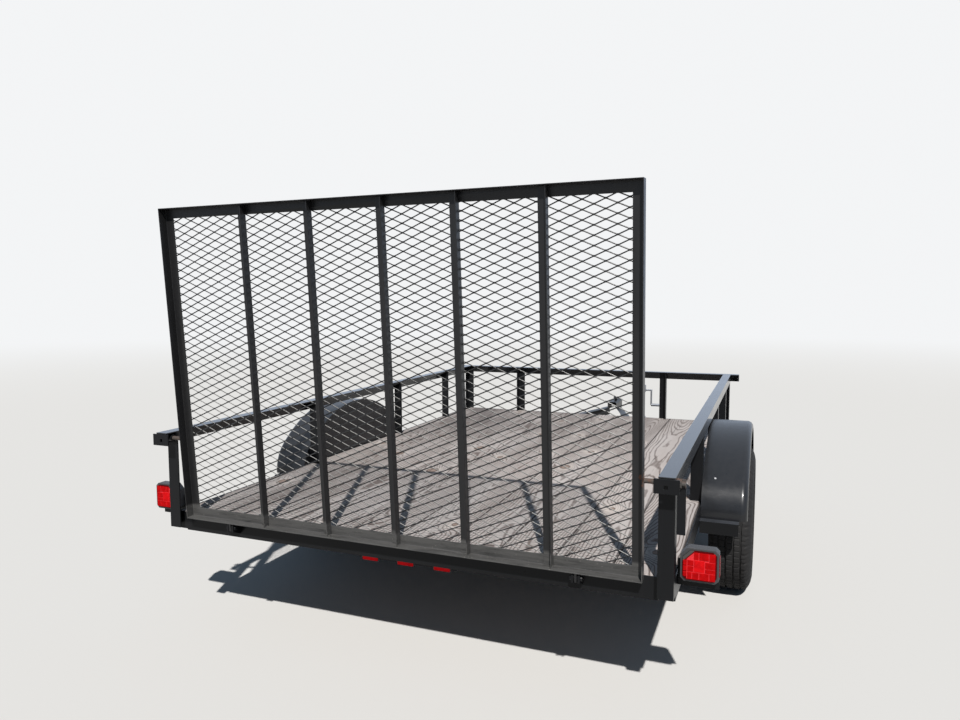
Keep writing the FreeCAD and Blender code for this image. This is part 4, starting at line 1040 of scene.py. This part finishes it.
class TRAILER_OT_deck(Operator):
    """Weathers the deck boards and adds their screws"""

    bl_idname = "trailer.deck"
    bl_label = "Finish the deck"

    def execute(self, context):
        dress("deck_boards", deck_wood(), BOARD_ROUND, 50)
        low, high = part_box("deck_boards")
        pitch = (high.x - low.x) / BOARDS
        rng = random.Random(11)
        shape = Shape()
        for joist in JOIST_PLACES:
            y = along(joist)
            for board in range(BOARDS):
                for share in SCREW_SHARES:
                    x = low.x + (board + share) * pitch + rng.uniform(-SCREW_STRAY, SCREW_STRAY)
                    spot = (x, y + rng.uniform(-SCREW_STRAY, SCREW_STRAY), high.z - 0.0004)
                    add_dome(shape, spot, (0, 0, 1), *SCREW_HEAD, 10)
        place_shape(shape, "deck_screws", "frame", pin_steel(), 40)
        return {"FINISHED"}


class TRAILER_OT_gate_mesh(Operator):
    """Builds the gate's expanded mesh in place of its plain strands"""

    bl_idname = "trailer.gate_mesh"
    bl_label = "Build the gate mesh"

    def execute(self, context):
        mesh = expanded_sheet(context.scene.trailer_sizes)
        piece = place_piece(mesh, "gate_expanded_mesh", "gate", mesh_paint())
        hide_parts("gate_mesh")
        return {"FINISHED"}


# Turned profiles: distance along the axis, radius
NUT_PROFILE = ((0, 0.0082), (0.005, 0.0112), (0.017, 0.0112), (0.0195, 0.0095), (0.0205, 0.004))
STEM_PROFILE = (
    (0, 0.0075),
    (0.006, 0.0075),
    (0.009, 0.0045),
    (0.028, 0.004),
    (0.030, 0.0045),
    (0.038, 0.0042),
)


class TRAILER_OT_wheels(Operator):
    """Builds the treaded tyres, wheel nuts and valve stems"""

    bl_idname = "trailer.wheels"
    bl_label = "Build the tyres and wheel nuts"

    def execute(self, context):
        sizes = context.scene.trailer_sizes
        for side_name, side in SIDES:
            body = f"wheel_{side_name}"
            mesh = build_tyre(f"tread_{side_name}", f"tyre_{side_name}", sizes)
            piece = place_piece(mesh, f"tyre_tread_{side_name}", body, tyre_rubber(), 28)
            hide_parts(f"tyre_{side_name}")
            low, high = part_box(f"tyre_{side_name}")
            centre = (low + high) / 2
            shape = Shape()
            for nut in range(WHEEL_NUTS):
                angle = 2 * math.pi * nut / WHEEL_NUTS
                out = Vector((side * 0.003, math.sin(angle) * NUT_CIRCLE, math.cos(angle) * NUT_CIRCLE))
                add_turned(shape, centre + out, (side, 0, 0), NUT_PROFILE, 6)
            place_shape(shape, f"wheel_nuts_{side_name}", body, zinc_steel(), 35)
            stem = Shape()
            root = centre + Vector((side * 0.026, 0, 0.166))
            add_turned(stem, root, (side, 0, -0.25), STEM_PROFILE, 12)
            place_shape(stem, f"valve_stem_{side_name}", body, black_plastic(), 35)
        return {"FINISHED"}


LAMP_ROUND = 0.0012
# Blocks of a tail lens in millimetres from the lens middle, outer side plus: low x, low z, high x, high z.
# None stands for the lens's inner edge.
LENS_MIDDLE = ((-20, -18.5, 11, 18),)
LENS_RING = (
    (-21, 20, -7, 43),
    (-5, 20, 23, 43),
    (25, 17, 43, 43),
    (-40, 0, -22, 17),
    (-40, -18.5, -22, -2),
    (-40, -43, -27, -20.5),
    (None, 0, -42, 17),
    (None, -18.5, -42, -2),
    (None, -36, -42, -20.5),
    (-25, -43, -6, -20.5),
    (-4, -43, 24, -20.5),
    (26, -43, 43, -20.5),
    (13, -5, 43, 15),
    (13, -18.5, 43, -7),
)


class TRAILER_OT_lamps(Operator):
    """Finishes the lamps and adds the blocks of their lenses, side lenses and screws"""

    bl_idname = "trailer.lamps"
    bl_label = "Finish the lamps"

    def execute(self, context):
        dress("tail_lamps", lamp_plastic(), LAMP_ROUND)
        dress("tail_lenses", seamed_lens(), LAMP_ROUND)
        dress("bar_lamps", bar_lens())
        for side_name, side in SIDES:
            self.lens_blocks(side_name, side)
            self.side_lens(side_name, side)
        self.bar_trim()
        return {"FINISHED"}

    def lens_blocks(self, side_name, side):
        """A bright block and a ring of blocks round it, all standing a little proud."""
        low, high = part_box("tail_lenses")
        middle_x = high.x - (high.z - low.z) / 2
        middle_z = (low.z + high.z) / 2
        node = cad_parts["tail_lenses"]
        inner_x = min(abs((node.matrix_world @ point.co).x) for point in node.data.vertices)
        inner = min(-46, round((inner_x - middle_x) * 1000 + 2.5))
        kinds = (("lens_middle", bright_lens(), LENS_MIDDLE), ("lens_blocks", red_lens(), LENS_RING))
        for kind, material, blocks in kinds:
            shape = Shape()
            for x0, z0, x1, z1 in blocks:
                start = inner if x0 is None else x0
                span = sorted((side * (middle_x + start / 1000), side * (middle_x + x1 / 1000)))
                corner = (span[0], low.y - 0.0014, middle_z + z0 / 1000)
                far = (span[1], low.y + 0.001, middle_z + z1 / 1000)
                add_block(shape, corner, far, 0.0005)
            place_shape(shape, f"{kind}_{side_name}", "frame", material)

    def side_lens(self, side_name, side):
        """Red lens on the outer side of the housing."""
        low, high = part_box("tail_lamps")
        x = high.x if side > 0 else low.x
        shape = Shape()
        rings = []
        for out, inset in ((-0.001, 0.0), (0.0016, 0.0), (0.0026, 0.0014)):
            y0, y1 = low.y + 0.007 + inset, high.y - 0.010 - inset
            z0, z1 = low.z + 0.022 + inset, high.z - 0.022 - inset
            level = x + side * out
            ring = [(level, y0, z0), (level, y1, z0), (level, y1, z1), (level, y0, z1)]
            rings.append([Vector(point) for point in (ring if side > 0 else ring[::-1])])
        shape.rings(rings)
        # The side lens's red is darkened as painted shade.
        place_shape(shape, f"side_lens_{side_name}", "frame", side_red_painted_shade())

    def bar_trim(self):
        """Domed lenses on black bases, and the screws between them."""
        low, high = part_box("bar_lamps")
        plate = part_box("lamp_bar")[0].y
        lenses = Shape()
        base = Shape()
        screws = Shape()
        bottom, top = low.z - 0.007, high.z - 0.002
        half_lens = 0.032
        half_base = 0.037
        for number in (-1, 0, 1):
            x = number * BAR_LAMP_PITCH
            rings = []
            for out, inset in ((0.003, 0.0), (0.010, 0.0), (0.0145, 0.0025), (0.016, 0.007)):
                x0, x1 = x - half_lens + inset, x + half_lens - inset
                z0, z1 = bottom + inset, top - inset
                corners = ((x0, z0), (x1, z0), (x1, z1), (x0, z1))
                rings.append([Vector((a, plate - out, b)) for a, b in corners])
            lenses.rings(rings)
            corner = (x - half_base, plate - 0.004, bottom - 0.002)
            add_block(base, corner, (x + half_base, plate, top + 0.002), 0.001)
            for end in (-1, 1):
                spot = (x + end * 0.0345, plate - 0.004, (bottom + top) / 2)
                add_dome(screws, spot, (0, -1, 0), 0.002, 0.001, 8)
        for x in (-0.08, 0.08):
            add_bolt(screws, (x, plate, bottom + 0.02), (0, -1, 0), 0.006, 0.006)
        piece = place_shape(lenses, "bar_lenses", "frame", bar_lens(), 30)
        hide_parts("bar_lamps")
        place_shape(base, "bar_lamp_bases", "frame", black_plastic(), 35)
        place_shape(screws, "bar_lamp_screws", "frame", zinc_steel(), 35)


class TRAILER_OT_welds(Operator):
    """Lays the weld beads of the gate, posts and rails"""

    bl_idname = "trailer.welds"
    bl_label = "Lay the welds"

    def execute(self, context):
        radius = context.scene.trailer_sizes.weld_radius
        self.gate_welds(radius)
        self.post_welds(radius)
        return {"FINISHED"}

    def gate_welds(self, radius):
        """Beads at the feet and heads of the gate's upright bars."""
        rng = random.Random(5)
        matrix = gate_matrix()
        shape = Shape()
        # Where the inner faces and the ends of the frame angle's legs lie
        face = 0.0034
        leg = 0.038

        def bead(start, end, size):
            add_weld(shape, matrix @ Vector(start), matrix @ Vector(end), size, rng)

        for share in GATE_BAR_SHARES:
            edge = share * GATE_WIDE
            for height, line in ((face, leg), (GATE_TALL - face, GATE_TALL - leg)):
                bead((edge, height, 0.008), (edge, height, 0.032), radius)
                bead((edge - 0.034, line, face), (edge, line, face), radius * 0.8)
        place_shape(shape, "gate_welds", "gate", gate_paint(), 60)

    def post_welds(self, radius):
        """Beads where the posts meet the rails and the frame."""
        rng = random.Random(9)
        shape = Shape()
        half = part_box("posts_right")[1].x

        def bead(x0, y0, x1, y1, z, size=radius):
            add_weld(shape, (x0, along(y0), z), (x1, along(y1), z), size, rng)

        for side in (-1, 1):
            outer = side * (half - 0.004)
            inner = side * (half - 0.050)
            flange = side * (half - 0.006)
            for y in POST_PLACES:
                for z in (POST_FOOT, POST_HEAD):
                    bead(outer, y, inner, y, z)
                    bead(flange, y + 6, flange, y + 50, z, radius * 0.9)
            for z in (POST_FOOT, POST_HEAD):
                bead(outer, FRONT_POST, inner, FRONT_POST, z)
                start, end = side * (MIDDLE_POST_X - 0.025), side * (MIDDLE_POST_X + 0.025)
                bead(start, FRONT_POST, end, FRONT_POST, z)
            bead(side * (half - 0.002), REAR_POST, side * (half - 0.049), REAR_POST, REAR_POST_HEAD)
        place_shape(shape, "post_welds", "frame", frame_paint(), 60)


# Focal length and width of the photograph in pixels, and the sensor width in millimetres
FOCAL_PIXELS = 718.26
PICTURE_WIDTH = 960
SENSOR_WIDTH = 36
# Place of the camera and its turns in degrees, fitted to the photograph
CAMERA_PLACE = (1.2603, along(-2157.4), 1.3986)
CAMERA_YAW = 21.991
CAMERA_PITCH = 4.794
CAMERA_ROLL = -0.127
# The way the sunlight runs
SUN_HEADING = (-0.431, 1.098, -1.224)


def aim_camera(context):
    """Camera where the photograph was taken from."""
    yaw = math.radians(CAMERA_YAW)
    pitch = math.radians(CAMERA_PITCH)
    roll = math.radians(CAMERA_ROLL)
    forward = Vector((-math.sin(yaw) * math.cos(pitch), math.cos(yaw) * math.cos(pitch), -math.sin(pitch)))
    level = Vector((math.cos(yaw), math.sin(yaw), 0))
    upward = level.cross(forward)
    right = level * math.cos(roll) + upward * math.sin(roll)
    above = upward * math.cos(roll) - level * math.sin(roll)
    turned = Matrix((right, above, -forward)).transposed().to_4x4()
    data = bpy.data.cameras.new("photo_camera")
    data.sensor_width = SENSOR_WIDTH
    data.sensor_fit = "HORIZONTAL"
    data.lens = FOCAL_PIXELS / PICTURE_WIDTH * SENSOR_WIDTH
    data.clip_end = 200
    camera = bpy.data.objects.new("photo_camera", data)
    context.scene.collection.objects.link(camera)
    camera.matrix_world = Matrix.Translation(CAMERA_PLACE) @ turned
    context.scene.camera = camera


def floor_material(stage):
    """Matt floor near the object that goes over into the backdrop's colour far out."""
    material = bpy.data.materials.new("pale_floor")
    material.use_nodes = True
    graph = Graph(material.node_tree)
    nodes = material.node_tree.nodes
    nodes.remove(nodes["Principled BSDF"])
    place = graph.place()
    reach = graph.add("ShaderNodeVectorMath", {0: place}, operation="LENGTH").outputs["Value"]
    far = graph.ramp(reach, 6.0, 26.0)
    rays = graph.add("ShaderNodeLightPath").outputs
    seen = graph.math("MAXIMUM", rays["Is Camera Ray"], rays["Is Transmission Ray"])
    seen = graph.math("MAXIMUM", seen, rays["Is Glossy Ray"])
    colour = graph.mix(seen, rgba(stage.floor_bounce), rgba(stage.floor))
    matt = graph.add("ShaderNodeBsdfDiffuse", {"Color": colour}).outputs[0]
    glow = graph.add("ShaderNodeEmission", {"Color": rgba(stage.backdrop), "Strength": 1.0}).outputs[0]
    mixed = graph.add("ShaderNodeMixShader", {0: far, 1: matt, 2: glow}).outputs[0]
    graph.feed(nodes["Material Output"].inputs["Surface"], mixed)
    return material


class TRAILER_OT_stage(Operator):
    """Sets up the floor, lights and camera"""

    bl_idname = "trailer.stage"
    bl_label = "Set up the stage"

    def execute(self, context):
        stage = context.scene.trailer_stage
        plane = bmesh.new()
        bmesh.ops.create_circle(plane, cap_ends=True, radius=60, segments=64)
        mesh = bpy.data.meshes.new("floor")
        plane.to_mesh(mesh)
        plane.free()
        mesh.materials.append(floor_material(stage))
        floor = bpy.data.objects.new("floor", mesh)
        context.scene.collection.objects.link(floor)
        lamp = bpy.data.lights.new("key_sun", "SUN")
        lamp.energy = stage.sun_power
        lamp.angle = math.radians(0.9)
        lamp.color = (1.0, 0.975, 0.94)
        sun = bpy.data.objects.new("key_sun", lamp)
        context.scene.collection.objects.link(sun)
        sun.rotation_euler = Vector(SUN_HEADING).to_track_quat("-Z", "Y").to_euler()
        self.light_world(context, stage)
        aim_camera(context)
        context.scene.view_settings.view_transform = "Standard"
        return {"FINISHED"}

    def light_world(self, context, stage):
        """Soft sky light; camera and clear rays see the pale backdrop, glossy rays a pale blue sky."""
        world = bpy.data.worlds.new("studio")
        context.scene.world = world
        world.use_nodes = True
        graph = Graph(world.node_tree)
        nodes = world.node_tree.nodes
        nodes.remove(nodes["Background"])
        rays = graph.add("ShaderNodeLightPath").outputs
        seen = graph.math("MAXIMUM", rays["Is Camera Ray"], rays["Is Transmission Ray"])
        soft = graph.add("ShaderNodeBackground", {"Color": (0.52, 0.73, 1.0, 1), "Strength": stage.sky_power})
        shown = graph.add("ShaderNodeBackground", {"Color": rgba(stage.backdrop), "Strength": 1.0})
        mirrored = graph.add("ShaderNodeBackground", {"Color": (0.62, 0.72, 0.88, 1), "Strength": 1.0})
        values = {0: rays["Is Glossy Ray"], 1: soft.outputs[0], 2: mirrored.outputs[0]}
        glossy = graph.add("ShaderNodeMixShader", values)
        mixed = graph.add("ShaderNodeMixShader", {0: seen, 1: glossy.outputs[0], 2: shown.outputs[0]})
        graph.feed(nodes["World Output"].inputs["Surface"], mixed.outputs[0])


class TRAILER_PT_looks(Panel):
    """Lists the steps that dress the trailer"""

    bl_idname = "TRAILER_PT_looks"
    bl_label = "Trailer"
    bl_space_type = "VIEW_3D"
    bl_region_type = "UI"
    bl_category = "Trailer"

    def draw(self, context):
        for operator in OPERATORS:
            self.layout.operator(operator.bl_idname)
        for name in ("trailer_sizes", "trailer_finish", "trailer_stage"):
            group = getattr(context.scene, name)
            column = self.layout.column()
            for prop in group.bl_rna.properties:
                if prop.identifier not in ("name", "rna_type"):
                    column.prop(group, prop.identifier)


OPERATORS = (
    TRAILER_OT_steelwork,
    TRAILER_OT_deck,
    TRAILER_OT_gate_mesh,
    TRAILER_OT_wheels,
    TRAILER_OT_lamps,
    TRAILER_OT_welds,
    TRAILER_OT_stage,
)
GROUPS = (("trailer_sizes", TrailerSizes), ("trailer_finish", TrailerFinish), ("trailer_stage", TrailerStage))


def register():
    for name, group in GROUPS:
        bpy.utils.register_class(group)
        setattr(bpy.types.Scene, name, PointerProperty(type=group))
    for operator in OPERATORS:
        bpy.utils.register_class(operator)
    bpy.utils.register_class(TRAILER_PT_looks)


def unregister():
    bpy.utils.unregister_class(TRAILER_PT_looks)
    for operator in reversed(OPERATORS):
        bpy.utils.unregister_class(operator)
    for name, group in reversed(GROUPS):
        delattr(bpy.types.Scene, name)
        bpy.utils.unregister_class(group)


def main():
    register()
    for operator in OPERATORS:
        prefix, name = operator.bl_idname.split(".")
        getattr(getattr(bpy.ops, prefix), name)()


if __name__ == "__main__":
    main()
